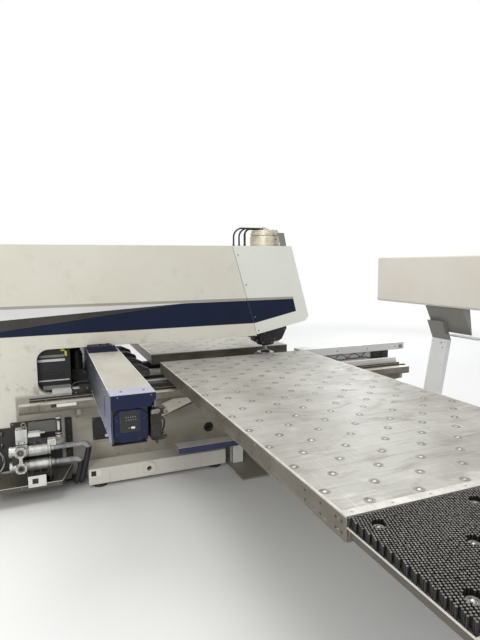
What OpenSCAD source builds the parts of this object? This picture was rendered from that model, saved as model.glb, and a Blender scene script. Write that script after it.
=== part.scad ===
// Single-head sheet metal punching machine with a C-shaped frame and two moving ball tables.
// Millimetres. X runs along the cross rail, +Y to the rear of the frame, +Z up.
// The origin is on the floor, straight below the punch axis.

/* [Frame] */
// Half of the width of the welded frame
frame_half_w = 280; // [260:1:300]
// Height of the top of the frame
frame_top_z = 2150; // [2050:5:2250]
// Underside of the welded frame above the floor
frame_bottom_z = 30; // [20:1:60]
// Rear end of the welded frame
frame_rear_y = 3250; // [2900:10:3600]
// Front end of the lower arm
lower_arm_front_y = -1560; // [-1600:10:-1500]
// Plate thickness of the weldment
frame_plate = 30; // [20:1:40]

/* [Throat] */
// Top face of the lower arm
throat_z = 833; // [820:1:836]
// Lower edge of the upper arm
arm_z = 1237; // [1232:1:1260]
// Rear wall of the throat
throat_rear_y = 2323; // [2200:1:2350]
// Corner radius at the rear of the throat
throat_r = 100; // [60:5:150]

/* [Head] */
// Where the head cover meets the frame on the top face
seam_top_y = 485; // [460:1:510]
// Where the head cover meets the frame at the lower edge
seam_low_y = 222; // [205:1:240]
// Open joint between the head cover and the frame
seam_gap = 4; // [2:1:6]
// Front end of the top of the head cover
head_top_front_y = -172; // [-200:1:-140]
// Foremost point of the head cover
head_nose_y = -382; // [-400:1:-360]
// Height of the foremost point
head_nose_z = 1416; // [1400:1:1440]
// Sheet thickness of the head cover
head_sheet = 5; // [3:1:8]

/* [Stripes] */
// Thickness of the coloured foils on the sides
foil_t = 0.8; // [0.5:0.1:1.5]
// Upper edge of the long band at the front
band_top_z = 1602; // [1585:1:1620]
// Lower edge of the long band
band_low_z = 1360; // [1345:1:1375]
// Place where the band starts to taper to the rear
band_knee_y = 988; // [850:2:1100]

/* [Punch] */
// Diameter of the drive housing on top of the head
drive_d = 326; // [300:2:350]
// Height of the drive housing above the frame
drive_h = 150; // [120:1:180]
// Diameter of the rotating tool adapter
adapter_d = 196; // [180:1:200]
// Lowest face of the tool adapter
adapter_z = 1088; // [1080:1:1100]
// Diameter of the ram
ram_d = 90; // [70:1:100]
// Diameter of the punch
punch_d = 40; // [20:1:60]
// Stroke of the ram
ram_stroke = 37; // [30:1:40]
// Diameter of the die
die_d = 100; // [80:1:110]
// Radial clearance of turning and sliding fits
run_gap = 0.08; // [0.05:0.01:0.1]

/* [Tables] */
// Height of the sheet plane above the floor
table_z = 1030; // [1020:1:1040]
// Inner edge of each table, from the punch axis
table_in_x = 212; // [210:1:230]
// Outer edge of the steel table panels
table_out_x = 3375; // [3200:5:3500]
// Rear edge of the tables
table_rear_y = 1220; // [1200:1:1240]
// Front edge of the tables
table_front_y = -376; // [-400:1:-340]
// Place of the seam between the rear and the front panel
seam_y = 238; // [150:1:300]
// Place of the seam before the end panel
seam_x = 2966; // [2800:1:3100]
// Thickness of the table panels
panel_t = 6; // [4:0.5:8]
// Height of the side skirt with the panel
skirt_h = 105; // [95:1:108]
// Pitch of the ball inserts across the table
ball_pitch_y = 250; // [200:10:300]
// Distance from one row of ball inserts to the next
ball_pitch_x = 135; // [120:5:160]
// Diameter of the ring of a ball insert
ball_ring_d = 50; // [36:1:50]
// Outer end of the brush field
brush_out_x = 4000; // [3900:10:4100]

/* [Cross rail] */
// Front face of the cross rail
rail_front_y = 1630; // [1620:1:1640]
// Width of the cross rail
rail_w = 270; // [260:1:280]
// Underside of the cross rail
rail_low_z = 905; // [900:1:915]
// Top of the cross rail
rail_top_z = 1208; // [1190:1:1215]
// Half of the length of the cross rail
rail_half_l = 1965; // [1950:5:2000]
// Width over the flats of the servo drive at each end
servo_w = 212; // [190:1:220]
// Forward travel of the rail and the tables
y_travel = 1250; // [1200:10:1270]

/* [Clamps] */
// Half of the length of the clamp carriage
carriage_half_l = 640; // [620:5:660]
// Distance from the middle to the inner clamps
clamp_in_x = 175; // [170:1:200]
// Distance from the middle to the outer clamps
clamp_out_x = 520; // [480:5:560]
// Width of a clamp
clamp_w = 90; // [70:1:100]
// How far the clamps reach in front of the cross rail
clamp_reach = 240; // [225:1:250]

/* [Lower guides] */
// Middle of the rear-to-front guide rails, from the centre line
guide_x = 480; // [460:1:500]
// Top face of the guide rails
guide_top_z = 836; // [830:1:840]
// Rear end of the guide beams
guide_rear_y = 2470; // [2400:5:2550]
// Front end of the guide beams
guide_front_y = -1440; // [-1480:5:-1400]
// Inner face of the outer guide beams
beam_in_x = 560; // [550:1:580]
// Width of the outer guide beams
beam_w = 80; // [60:1:100]

/* [Base] */
// Outer face of the base beams
base_beam_x = 500; // [480:5:560]
// Top of the base beams
base_beam_z = 174; // [150:1:200]
// Rear end of the base beams
base_beam_rear_y = 1945; // [1900:5:2000]
// Front end of the base beams
base_beam_front_y = 660; // [600:5:700]
// Radius of the lifting bore in each base beam
lift_bore_r = 22; // [15:0.5:30]
// Radius of the boss around the lifting bore
lift_boss_r = 62; // [50:1:70]
// Place of the lifting bore along the beam
lift_bore_y = 1410; // [1300:5:1500]
// Radius of the anchor holes in the foot plates
anchor_hole_r = 9; // [7:0.5:12]

/* [Console] */
// Middle of the console post, from the centre line
console_x = -530; // [-600:5:-450]
// Face of the console housing towards the machine
console_y = -1800; // [-1850:5:-1790]
// Left end of the console housing
console_left_x = 410; // [300:5:450]
// Right end of the console housing
console_right_x = -1240; // [-1300:5:-1200]
// Lower edge of the console housing
console_low_z = 1484; // [1450:1:1520]
// Height of the console housing
console_h = 566; // [500:1:600]

/* [Cabinet] */
// Depth of the switch cabinet behind the frame
cabinet_depth = 420; // [300:10:500]
// Height of the switch cabinet above its plinth
cabinet_h = 1850; // [1700:10:2000]

/* [Hidden] */
$fn = 48;
touch = 0.3;
seam_slope = (seam_top_y - seam_low_y) / (frame_top_z - arm_z);
head_chin_y = head_nose_y + 41;
head_chin_z = head_nose_z - 52;
head_low_y = seam_low_y - seam_gap;
head_low_z = arm_z + 13;
nose_half_w = 200;
nose_front_y = -150;
nose_low_z = 1390;
nose_top_z = frame_top_z - 20;
nose_bore_r = 88;
neck_r = adapter_d / 2 - 24;
neck_top_z = 1330;
body_low_z = 1135;
body_half_w = 112;
ram_top_z = frame_top_z + 60;
ram_low_z = adapter_z + 24;
punch_low_z = table_z + 12;
drive_top_z = frame_top_z + drive_h;
ring_h = 22;
wedge_end_z = 1471;
band_end_y = 3050;
line_h = 24;
cover_low_z = table_z - skirt_h;
rail_rear_y = rail_front_y + rail_w;
rail_mid_y = rail_front_y + rail_w / 2;
lid_t = 3;
rail_wall = 10;
rail_inset = 10;
beam_end_x = rail_half_l - 85;
cap_x0 = frame_half_w + 32;
cap_w = 138;
cap_h = 54;
end_h = 88;
servo_z = rail_top_z - end_h - servo_w / 2 - 2;
xrail_low_z = rail_low_z + 50;
xrail_high_z = rail_low_z + 146;
xrail_y = rail_front_y - 12;
xrail_size = 24;
plate_y = rail_front_y - 56;
plate_t = 22;
clamp_xs = [-clamp_out_x, -clamp_in_x, clamp_in_x, clamp_out_x];
clamp_front_y = rail_front_y - clamp_reach;
jaw_y = rail_front_y - 122;
jaw_z = table_z + 36;
jaw_pin_r = 8;
ear_t = 12;
sheet_gap = 1.5;
block_low_z = guide_top_z + touch;
block_h = 26;
arm_half_w = 50;
arm_front_y = 300;
block_l = 160;
block_ys = [arm_front_y + 90, rail_front_y - 40, rail_rear_y - 90];
deck_z = 772;
rib_t = 8;
wall_t = 5;
pad_ys = [arm_front_y + 100, 800, table_rear_y - 70];
leg_x = 3000;
leg_ys = [-250, 100];
track_top_z = 60;
track_half_w = 40;
first_row_x = table_out_x - 73;
row_count = floor((first_row_x - table_in_x - 40) / ball_pitch_x) + 1;
ring_h_ball = 1.5;
brush_low_z = table_z - 45;
brush_top_z = table_z;
brush_hole_r = 21;
hole_pitch_x = 211;
hole_pitch_y = 466;
duct_x = frame_half_w - 33;
rack_pitch = 20;
rack_y0 = 340;
rack_n = 92;
foot_r = 65;
foot_xs = [-200, 200];
foot_ys = [-1100, 0, 1000, 2100, 3100];
bracket_ys = [-1330, -560, 250, 715, 1640, 2010];
plate_th = 16;
anchor_y = 520;
anchor_x = 640;
anchor_dx = 280;
anchor_dy = 110;
pump_x = -470;
pump_rear_y = 2560;
upper_z = 418;
lower_z = 286;
pump_r = 54;
console_t = 160;
console_round = 28;
post_w = 227;
post_t = 60;
post_lean = 10;
post_foot_y = console_y + 43;
post_l = 1108;
button_x = console_x + 330;
button_y = console_y - console_t;
button_z = console_low_z + 110;
cabinet_y = frame_rear_y;
cabinet_low_z = 100;
cabinet_half_w = frame_half_w;
cabinet_wall = 4;
door_t = 22;
door_gap = 4;
hinge_r = 9;
hinge_zs = [400, 1000, 1600];
handle_z = 1050;
hose_r = 9;
hose_start_y = 60;
hoses = [[-66, 388, 95], [-28, 312, 90], [10, 236, 70], [48, 214, 60]];

// A block between two opposite corners
module block(a, b) {
    translate(a) cube(b - a);
}

// A shape drawn in the side view (Y, Z) and run from x0 to x1
module side_run(points, x0, x1) {
    translate([x0, 0, 0])
        rotate([90, 0, 90])
            linear_extrude(x1 - x0) polygon(points);
}

// A square of half width w with its corners cut by c
function cut_square(w, c) = [[w, w - c], [w - c, w], [c - w, w], [-w, w - c],
    [-w, c - w], [c - w, -w], [w - c, -w], [w, c - w]];

// A round bar along X, Y or Z
module rod_x(x0, x1, y, z, r) {
    translate([x0, y, z]) rotate([0, 90, 0]) cylinder(r = r, h = x1 - x0);
}
module rod_y(y0, y1, x, z, r) {
    translate([x, y0, z]) rotate([-90, 0, 0]) cylinder(r = r, h = y1 - y0);
}
module rod_z(z0, z1, x, y, r) {
    translate([x, y, z0]) cylinder(r = r, h = z1 - z0);
}

// A hose through a list of points
module tube(points, r) {
    for (i = [0 : len(points) - 2])
        hull() for (p = [points[i], points[i + 1]]) translate(p) sphere(r = r, $fn = 20);
}

// The same piece on both sides of the machine
module both_sides() {
    children();
    mirror([1, 0, 0]) children();
}

function arc(cy, cz, r, a0, a1, n) =
    [for (i = [0 : n]) let (a = a0 + (a1 - a0) * i / n) [cy + r * cos(a), cz + r * sin(a)]];

// Outline of the C in the side view, drawn inwards by t
function c_outline(t, rear) = concat(
    [[rear, frame_bottom_z + t], [rear, frame_top_z - t],
     [seam_top_y + t, frame_top_z - t], [seam_low_y + t, arm_z + t]],
    arc(throat_rear_y - throat_r, arm_z - throat_r, throat_r + t, 90, 0, 6),
    arc(throat_rear_y - throat_r, throat_z + throat_r, throat_r + t, 0, -90, 6),
    [[lower_arm_front_y + t, throat_z - t], [lower_arm_front_y + t, 560],
     [lower_arm_front_y + 320 + t, frame_bottom_z + t]]);

module c_frame() {
    color([0.80, 0.79, 0.73]) difference() {
        union() {
            difference() {
                side_run(c_outline(0, frame_rear_y), -frame_half_w, frame_half_w);
                side_run(c_outline(frame_plate, frame_rear_y - frame_plate),
                    -frame_half_w + frame_plate, frame_half_w - frame_plate);
            }
            block([-nose_half_w, nose_front_y, nose_low_z], [nose_half_w, seam_top_y + 60, nose_top_z]);
        }
        rod_z(nose_low_z - 1, nose_top_z + 1, 0, 0, nose_bore_r);
        rod_z(throat_z - frame_plate - 1, throat_z + 1, 0, 0, die_d / 2 - 12);
        for (z = [500, 1500])
            block([-150, frame_rear_y - frame_plate - 1, z], [150, frame_rear_y + 1, z + 200]);
    }
}

head_outline = [[seam_top_y - seam_gap, frame_top_z], [head_top_front_y, frame_top_z],
    [head_nose_y, head_nose_z], [head_chin_y, head_chin_z],
    [head_low_y + seam_slope * (head_low_z - arm_z), head_low_z]];

module head_cover() {
    t = head_sheet;
    color([0.87, 0.87, 0.84]) difference() {
        side_run(head_outline, -frame_half_w, frame_half_w);
        side_run([[seam_top_y + 1, frame_top_z - t], [head_top_front_y + t, frame_top_z - t],
            [head_nose_y + t, head_nose_z], [head_chin_y + t, head_chin_z + t],
            [head_low_y + 1, head_low_z + t], [head_low_y + 60, head_low_z + t + 60]],
            -frame_half_w + t, frame_half_w - t);
        rod_z(frame_top_z - 2 * t, frame_top_z + 1, 0, 0, drive_d / 2 + 5);
        block([-body_half_w - 8, -266, head_low_z - 60], [body_half_w + 8, head_low_y + 9, nose_low_z - 10]);
    }
}

// The open joint between head cover and frame, as a strip of the side view
module seam_strip() {
    polygon([[seam_top_y - seam_gap, frame_top_z], [seam_top_y, frame_top_z],
        [seam_low_y, arm_z], [seam_low_y - seam_gap, arm_z]]);
}

// A foil on both side faces, cut at the joint of the covers
module foil(points, t) {
    for (x = [-frame_half_w - t, frame_half_w])
        translate([x, 0, 0]) rotate([90, 0, 90]) linear_extrude(t) difference() {
            polygon(points);
            seam_strip();
        }
}

module stripe_band() {
    color([0.12, 0.16, 0.25])
        foil([[band_end_y, band_low_z + 2], [seam_low_y + 25, band_low_z + 8],
            [head_nose_y + 152, band_top_z - 130], [head_nose_y + 186, band_top_z],
            [band_knee_y, band_top_z - 4]], foil_t);
}

module stripe_wedge() {
    color([0.28, 0.27, 0.26])
        foil([[band_knee_y, band_top_z - 4], [frame_rear_y, wedge_end_z],
            [frame_rear_y, band_low_z], [band_end_y, band_low_z + 2]], foil_t);
}

module stripe_pale() {
    color([0.87, 0.87, 0.88])
        foil([[band_knee_y, band_top_z - 4], [frame_rear_y, band_top_z - 1],
            [frame_rear_y, wedge_end_z]], foil_t);
}

module stripe_line() {
    color([0.65, 0.64, 0.59])
        foil([[frame_rear_y, band_top_z], [head_nose_y + 186, band_top_z],
            [head_nose_y + 186, band_top_z + line_h], [frame_rear_y, band_top_z + line_h]], foil_t);
}

module head_screws() {
    color([0.25, 0.25, 0.26])
        for (z = [arm_z + 53, arm_z + 193, arm_z + 523, frame_top_z - 90], x = [-1, 1])
            let (y = seam_low_y + seam_slope * (z - arm_z) - 34)
                rod_x(x > 0 ? frame_half_w + foil_t : -frame_half_w - foil_t - 3,
                    x > 0 ? frame_half_w + foil_t + 3 : -frame_half_w - foil_t, y, z, 7);
}

module drive_housing() {
    color([0.76, 0.74, 0.66]) difference() {
        union() {
            rod_z(nose_top_z - 300, nose_top_z, 0, 0, nose_bore_r - run_gap);
            rod_z(nose_top_z, drive_top_z - 40, 0, 0, drive_d / 2);
            rod_z(drive_top_z - 34, drive_top_z, 0, 0, drive_d / 2 - 6);
            rod_z(drive_top_z - 41, drive_top_z - 33, 0, 0, drive_d / 2 - 22);
        }
        rod_z(nose_top_z - 301, ram_top_z + ram_stroke, 0, 0, ram_d / 2 + run_gap);
        rod_x(drive_d / 2 - 40, drive_d / 2 + 1, 0, drive_top_z - 75, 9);
    }
}

module drive_ring() {
    color([0.72, 0.72, 0.70]) difference() {
        rod_z(drive_top_z, drive_top_z + ring_h, 0, 0, drive_d / 2 - 14);
        for (a = [0 : 45 : 315])
            rotate([0, 0, a + 22.5])
                rod_z(drive_top_z + ring_h - 12, drive_top_z + ring_h + 1, drive_d / 2 - 32, 0, 8);
    }
}

module drive_fittings() {
    z0 = drive_top_z + ring_h;
    color([0.55, 0.55, 0.52]) for (h = hoses) {
        block([h[0] - 15, hose_start_y - 34, z0], [h[0] + 15, hose_start_y - 4, z0 + 30]);
        rod_y(hose_start_y - 4, hose_start_y, h[0], z0 + 16, 12);
        rod_z(frame_top_z, frame_top_z + 22, h[0], h[1], 14);
    }
}

module drive_bracket() {
    z1 = drive_top_z - 12;
    color([0.70, 0.69, 0.66]) {
        block([-206, -150, frame_top_z], [-150, -82, frame_top_z + 5]);
        side_run([[-152, frame_top_z + 4], [-80, frame_top_z + 4], [-52, z1], [-122, z1]], -206, -201);
        block([-206, -124, z1 - 4], [-168, -50, z1]);
    }
}

// Hoses run level from the ring, bend down and enter the roof
module drive_hoses() {
    z = drive_top_z + ring_h + 16;
    color([0.13, 0.13, 0.14]) for (h = hoses) {
        rod_y(hose_start_y, h[1] - h[2], h[0], z, hose_r);
        translate([h[0], h[1] - h[2], z - h[2]]) rotate([90, 0, 90])
            rotate_extrude(angle = 90) translate([h[2], 0]) circle(r = hose_r);
        rod_z(frame_top_z + 22, z - h[2], h[0], h[1], hose_r);
    }
}

// Black body below the arm that carries the turning tool adapter
module head_body() {
    color([0.11, 0.11, 0.12]) difference() {
        union() {
            side_run([[-198, nose_low_z], [-205, 1270], [-150, 1158], [-104, body_low_z],
                [108, body_low_z], [122, 1190], [190, 1195], [190, nose_low_z]],
                -body_half_w, body_half_w);
            block([-60, 104, 1140], [60, 150, 1191]);
        }
        rod_z(body_low_z - 1, neck_top_z + touch, 0, 0, neck_r + run_gap);
        rod_z(neck_top_z, nose_low_z + 1, 0, 0, ram_d / 2 + run_gap);
    }
}

module tool_adapter() {
    color([0.10, 0.10, 0.11]) difference() {
        union() {
            rod_z(adapter_z + 16, body_low_z - touch, 0, 0, adapter_d / 2);
            translate([0, 0, adapter_z]) cylinder(r1 = adapter_d * 0.3, r2 = adapter_d / 2, h = 16.1);
            rod_z(body_low_z - touch, neck_top_z, 0, 0, neck_r);
            for (a = [0 : 60 : 300])
                rotate([0, 0, a])
                    rod_z(adapter_z - 6, adapter_z + 1, adapter_d * 0.266, 0, 5);
        }
        rod_z(adapter_z - 1, neck_top_z + 1, 0, 0, ram_d / 2 + run_gap);
    }
}

module ram() {
    color([0.72, 0.73, 0.75]) rod_z(ram_low_z, ram_top_z, 0, 0, ram_d / 2);
}

module punch() {
    color([0.45, 0.45, 0.47]) {
        rod_z(punch_low_z + 30, ram_low_z, 0, 0, ram_d / 2 - 8);
        rod_z(punch_low_z, punch_low_z + 31, 0, 0, punch_d / 2);
    }
}

module die_holder() {
    color([0.38, 0.38, 0.39]) difference() {
        union() {
            block([-150, -150, throat_z], [150, 150, throat_z + 22]);
            rod_z(throat_z + 20, table_z - 40, 0, 0, 120);
            for (a = [45 : 90 : 315])
                rotate([0, 0, a]) rod_z(throat_z + 21, throat_z + 32, 178, 0, 11);
        }
        rod_z(table_z - 130, table_z - 39, 0, 0, 70 + run_gap);
        rod_z(throat_z - 1, table_z - 129, 0, 0, die_d / 2 - 12);
    }
}

module die_ring() {
    color([0.62, 0.62, 0.63]) difference() {
        union() {
            rod_z(table_z - 130 + touch, table_z - 39, 0, 0, 70);
            rod_z(table_z - 40 + touch, table_z - 20, 0, 0, 92);
        }
        rod_z(table_z - 45, table_z - 19, 0, 0, die_d / 2);
        rod_z(table_z - 131, table_z - 44, 0, 0, punch_d / 2 + 8);
    }
}

module die() {
    color([0.50, 0.50, 0.52]) difference() {
        rod_z(table_z - 45, table_z - 0.5, 0, 0, die_d / 2 - touch);
        rod_z(table_z - 46, table_z, 0, 0, punch_d / 2 + touch);
    }
}

// Fixed sheet support in front of the punch
bar_x0 = -table_in_x + 8;
bar_x1 = -45;
bar_y0 = -1725;
bar_y1 = -335;
post_ys = [bar_y0 + 235, bar_y0 + 365, bar_y1 - 135];

module centre_bar() {
    color([0.80, 0.81, 0.76]) {
        difference() {
            block([bar_x0, bar_y0, table_z - 81], [bar_x1, bar_y1, table_z]);
            block([bar_x0 + 5, bar_y0 + 5, table_z - 82], [bar_x1 - 5, bar_y1 - 5, table_z - 5]);
        }
        for (y = post_ys)
            block([bar_x0 + 4, y - 40, table_z - 81], [bar_x1 - 4, y + 40, table_z - 75]);
        for (y = [bar_y0 + 120, bar_y1 - 120])
            rod_x(bar_x0 - 4, bar_x0, y, table_z - 44, 7);
    }
}

module bar_posts() {
    color([0.12, 0.12, 0.12]) for (y = post_ys) {
        block([-160, y - 45, throat_z], [-90, y + 45, table_z - 81]);
        block([-160, y - 45, table_z - 82], [-90, y + 45, table_z - 81]);
    }
}

module valve_panel() {
    color([0.88, 0.88, 0.87]) {
        block([-134, -1300, throat_z], [-122, -560, table_z - 84]);
        for (y = [-1180, -1000, -820])
            block([-150, y, throat_z + 30], [-134, y + 70, throat_z + 84]);
    }
}

module guide_beams() {
    color([0.80, 0.79, 0.73]) both_sides()
        difference() {
            block([beam_in_x, guide_front_y, deck_z], [beam_in_x + beam_w, guide_rear_y, deck_z + 72]);
            block([beam_in_x + 6, guide_front_y - 1, deck_z + 6],
                [beam_in_x + beam_w - 6, guide_rear_y + 1, deck_z + 66]);
        }
}

module guide_rails() {
    y0 = lower_arm_front_y + 40;
    y1 = guide_rear_y - 70;
    color([0.30, 0.30, 0.31]) both_sides() {
        block([guide_x - 32, y0, deck_z], [guide_x + 32, y1, deck_z + 40]);
        block([guide_x - 15, y0 + 10, deck_z + 39], [guide_x + 15, y1 - 10, guide_top_z]);
    }
}

// White ducts on the edges of the lower arm
module cable_ducts() {
    color([0.86, 0.86, 0.84]) both_sides()
        difference() {
            block([duct_x - 30, lower_arm_front_y + 6, throat_z], [duct_x + 30, throat_rear_y - 114,
                throat_z + 34]);
            block([duct_x - 26, lower_arm_front_y + 1, throat_z + 4], [duct_x + 26,
                throat_rear_y - 113, throat_z + 31]);
        }
}

module drive_rack() {
    color([0.42, 0.42, 0.43]) {
        block([-24, rack_y0, throat_z], [8, rack_y0 + rack_n * rack_pitch, throat_z + 27]);
        translate([8, rack_y0, throat_z + 6]) linear_extrude(20)
            polygon(concat([[-1, 0]], [for (i = [0 : rack_n - 1], k = [0 : 3])
                [k == 1 || k == 2 ? 9 : 0, (i + [0.05, 0.3, 0.65, 0.9][k]) * rack_pitch]],
                [[-1, rack_n * rack_pitch]]));
    }
}

module drive_motor() {
    y = rail_rear_y + 68;
    color([0.20, 0.21, 0.22]) {
        block([-60, rail_rear_y + touch, 884], [70, y + 66, 952]);
        block([-46, y - 46, 952], [56, y + 56, 990]);
        rod_z(990, 1140, 5, y + 5, 48);
        rod_z(1140, 1162, 5, y + 5, 42);
    }
}

// Cantilever brackets that carry the guide rails and the outer beams
module guide_brackets() {
    color([0.62, 0.61, 0.57]) both_sides()
        for (y = bracket_ys) translate([0, y + 15, 0]) rotate([90, 0, 0]) linear_extrude(30)
            polygon([[frame_half_w, 600], [frame_half_w, deck_z], [beam_in_x + beam_w, deck_z],
                [beam_in_x + beam_w, deck_z - 46]]);
}

module base_beams() {
    z0 = frame_bottom_z;
    color([0.74, 0.73, 0.68]) both_sides() difference() {
        union() {
            block([frame_half_w, base_beam_front_y, base_beam_z - 20], [base_beam_x, base_beam_rear_y,
                base_beam_z]);
            block([base_beam_x - 30, base_beam_front_y, z0], [base_beam_x, base_beam_rear_y, base_beam_z]);
            for (y = [base_beam_front_y, base_beam_rear_y - 20])
                block([frame_half_w, y, z0], [base_beam_x, y + 20, base_beam_z]);
            for (y = [base_beam_front_y + 100, base_beam_rear_y - 100])
                block([base_beam_x - 120, y - 70, z0], [base_beam_x, y + 70, z0 + 20]);
            rod_x(base_beam_x, base_beam_x + 12, lift_bore_y, z0 + 74, lift_boss_r);
        }
        rod_x(base_beam_x - 31, base_beam_x + 13, lift_bore_y, z0 + 74, lift_bore_r);
    }
}

module foot_pads() {
    color([0.25, 0.25, 0.26]) {
        for (x = foot_xs, y = foot_ys) foot(x, y);
        for (x = [-1, 1], y = [base_beam_front_y + 100, base_beam_rear_y - 100])
            foot(x * (base_beam_x - 66), y);
        foot(0, 0);
    }
}

module foot(x, y) {
    rod_z(0, frame_bottom_z - 12, x, y, foot_r - (x == 0 ? 10 : 0));
    rod_z(frame_bottom_z - 13, frame_bottom_z, x, y, 30);
}

// Angle plates that hold the frame to the floor
module anchor_plates() {
    color([0.55, 0.54, 0.50]) both_sides() difference() {
        union() {
            block([frame_half_w, anchor_y - 155, 0], [anchor_x + 230, anchor_y + 105, plate_th]);
            block([frame_half_w, anchor_y - 155, plate_th], [frame_half_w + plate_th, anchor_y + 105, 150]);
            block([frame_half_w + plate_th, anchor_y + 89, plate_th], [anchor_x - 240, anchor_y + 105, 60]);
        }
        for (x = [-1, 1], y = [-1, 1])
            rod_z(-1, plate_th + 1, anchor_x + x * anchor_dx / 2, anchor_y + y * anchor_dy / 2,
                anchor_hole_r);
    }
}

// Inclined folded sheet below the tables
module throat_guard() {
    y1 = throat_rear_y;
    color([0.09, 0.09, 0.10]) for (x = [-200, 200])
        side_run([[x < 0 ? y1 - 280 : y1 - 393, throat_z], [y1 - 100, throat_z], [y1 - 31, throat_z + 31],
            [y1, throat_z + 100], [y1, arm_z - 100], [y1 - 31, arm_z - 31], [y1 - 100, arm_z],
            [x < 0 ? y1 - 280 : y1 - 393, arm_z]], x, x + 6);
    color([0.6, 0.6, 0.58]) {
        block([-212, 2093, 1152], [-199, y1 - 20, 1173]);
        block([-216, 2087, 1115], [-199, y1 - 1, 1136]);
        block([-214, 2055, 936], [-199, y1 - 4, 946]);
        block([-216, 2050, 858], [-199, y1 - 44, 894]);
        block([-216, 2068, 1158], [-199, 2088, 1222]);
    }
}

// Duct on the floor for the console's cable
module floor_duct() {
    color([0.5, 0.5, 0.48]) {
        block([console_x + 190, post_foot_y - 103, 0], [-60, post_foot_y - 23, 22]);
        block([-140, post_foot_y - 24, 0], [-60, lower_arm_front_y + 380, 22]);
        block([-130, lower_arm_front_y + 324, 21], [-70, lower_arm_front_y + 380, frame_bottom_z]);
    }
}

module chute_plate() {
    x0 = -frame_half_w - 175;
    color([0.80, 0.79, 0.74]) {
        side_run([[1328, 539], [1328, 545], [766, 755], [760, 755], [760, 749], [765, 749]],
            x0, -frame_half_w);
        side_run([[1328, 539], [1261, 687], [1035, 766], [760, 766], [760, 749], [765, 749]], x0, x0 + 4);
    }
}

module toe_bar() {
    color([0.36, 0.42, 0.55]) {
        difference() {
            block([-622, 425, 238], [-482, 1160, 293]);
            block([-616, 431, 237], [-488, 1154, 287]);
        }
        block([-500, anchor_y - 50, plate_th], [-494, anchor_y + 70, 288]);
        for (y = [anchor_y - 50, anchor_y + 64])
            block([-500, y, plate_th], [-440, y + 6, 236]);
    }
}

module service_panel() {
    x = -frame_half_w;
    color([0.12, 0.12, 0.13]) {
        block([x - 12, 1705, 364], [x, 1880, 573]);
        block([x - 20, 1722, 384], [x - 12, 1775, 414]);
    }
}

module pump_plate() {
    x = -frame_half_w;
    color([0.13, 0.13, 0.13]) {
        block([x - 10, 2150, 190], [x, 2562, 616]);
        block([x - 10, 2562, 190], [x, 2780, 575]);
        translate([x - 18.9, 2732, 280]) rotate([0, 90, 0]) rotate_extrude($fn = 40)
            translate([105, 0]) circle(r = 9, $fn = 12);
        block([x - 10, 2058, 240], [x, 2118, 610]);
        for (z = [300, 430, 570]) {
            rod_x(x - 34, x - 10, 2088, z, 7);
            block([x - 40, 2074, z - 4], [x - 34, 2102, z + 18]);
        }
    }
}

module pump_body() {
    y1 = pump_rear_y;
    color([0.66, 0.67, 0.66]) difference() {
        union() {
            for (z = [lower_z, upper_z]) {
                rod_y(y1 - 300, y1 - 90, pump_x, z, z > lower_z ? pump_r - 2 : pump_r - 7);
                rod_y(y1 - 110, y1 + 10, pump_x, z, pump_r - 8);
                rod_y(y1 - 312, y1 - 299, pump_x, z, pump_r);
                rod_x(pump_x - 84, pump_x, y1 - 80, z + (z > lower_z ? 10 : 8), 40);
            }
            block([pump_x - 38, y1 - 90, lower_z], [pump_x + 38, y1 - 14, upper_z]);
            block([pump_x - 46, y1 - 136, upper_z + 30], [pump_x + 46, y1 - 47, 620]);
            rod_y(y1 - 238, y1 - 130, pump_x, 552, 30);
            rod_y(y1 - 273, y1 - 230, pump_x, 560, 12);
            block([pump_x + 40, y1 - 90, upper_z - 40], [-frame_half_w - 10, y1 - 20, upper_z + 40]);
            block([pump_x + 40, y1 - 90, lower_z - 40], [-frame_half_w - 10, y1 - 20, lower_z + 40]);
            block([pump_x - 28, y1 - 419, upper_z + 27], [pump_x + 28, y1 - 311, upper_z + 70]);
            rod_z(upper_z + 69, upper_z + 272, pump_x, y1 - 387, 17);
            rod_z(upper_z + 118, upper_z + 130, pump_x, y1 - 387, 28);
            rod_z(upper_z + 250, upper_z + 264, pump_x, y1 - 387, 28);
            rod_z(619, 632, pump_x, y1 - 110, 14);
            translate([pump_x, y1 - 110, 646]) rotate([0, 90, 0])
                rotate_extrude() translate([16, 0]) circle(r = 6);
            block([pump_x - 40, y1 - 320, 150], [pump_x + 40, y1 - 120, lower_z - 40]);
        }
        for (z = [lower_z, upper_z]) rod_x(pump_x - 85, pump_x - 30, y1 - 80, z + (z > lower_z ? 10 : 8), 20);
    }
}

// Ribbed hoses from the pump ends to a riser on the frame side
module pump_hoses() {
    y1 = pump_rear_y - 312 - touch;
    foot = -frame_half_w - 24;
    color([0.42, 0.43, 0.44]) {
        tube([[pump_x, y1 - 24, upper_z], [pump_x, 1985, upper_z], [pump_x, 1956, upper_z - 10],
            [pump_x, 1938, upper_z - 34], [pump_x, 1936, upper_z - 68], [pump_x, 1991, 118],
            [pump_x + 8, 1998, 84], [pump_x + 34, 2002, 66], [foot, 2004, 62]], 23);
        tube([[pump_x, y1 - 24, lower_z], [pump_x, 2050, lower_z], [pump_x, 2022, lower_z - 10],
            [pump_x, 2006, lower_z - 34], [pump_x + 6, 2030, 120], [pump_x + 14, 2040, 84],
            [pump_x + 40, 2052, 62], [foot, 2060, 58]], 22);
        rod_x(foot - 2, -frame_half_w, 2004, 62, 27);
        rod_x(foot - 2, -frame_half_w, 2060, 58, 26);
        rod_y(y1 - 24, y1, pump_x, upper_z, 26);
        rod_y(y1 - 24, y1, pump_x, lower_z, 26);
    }
}

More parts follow.
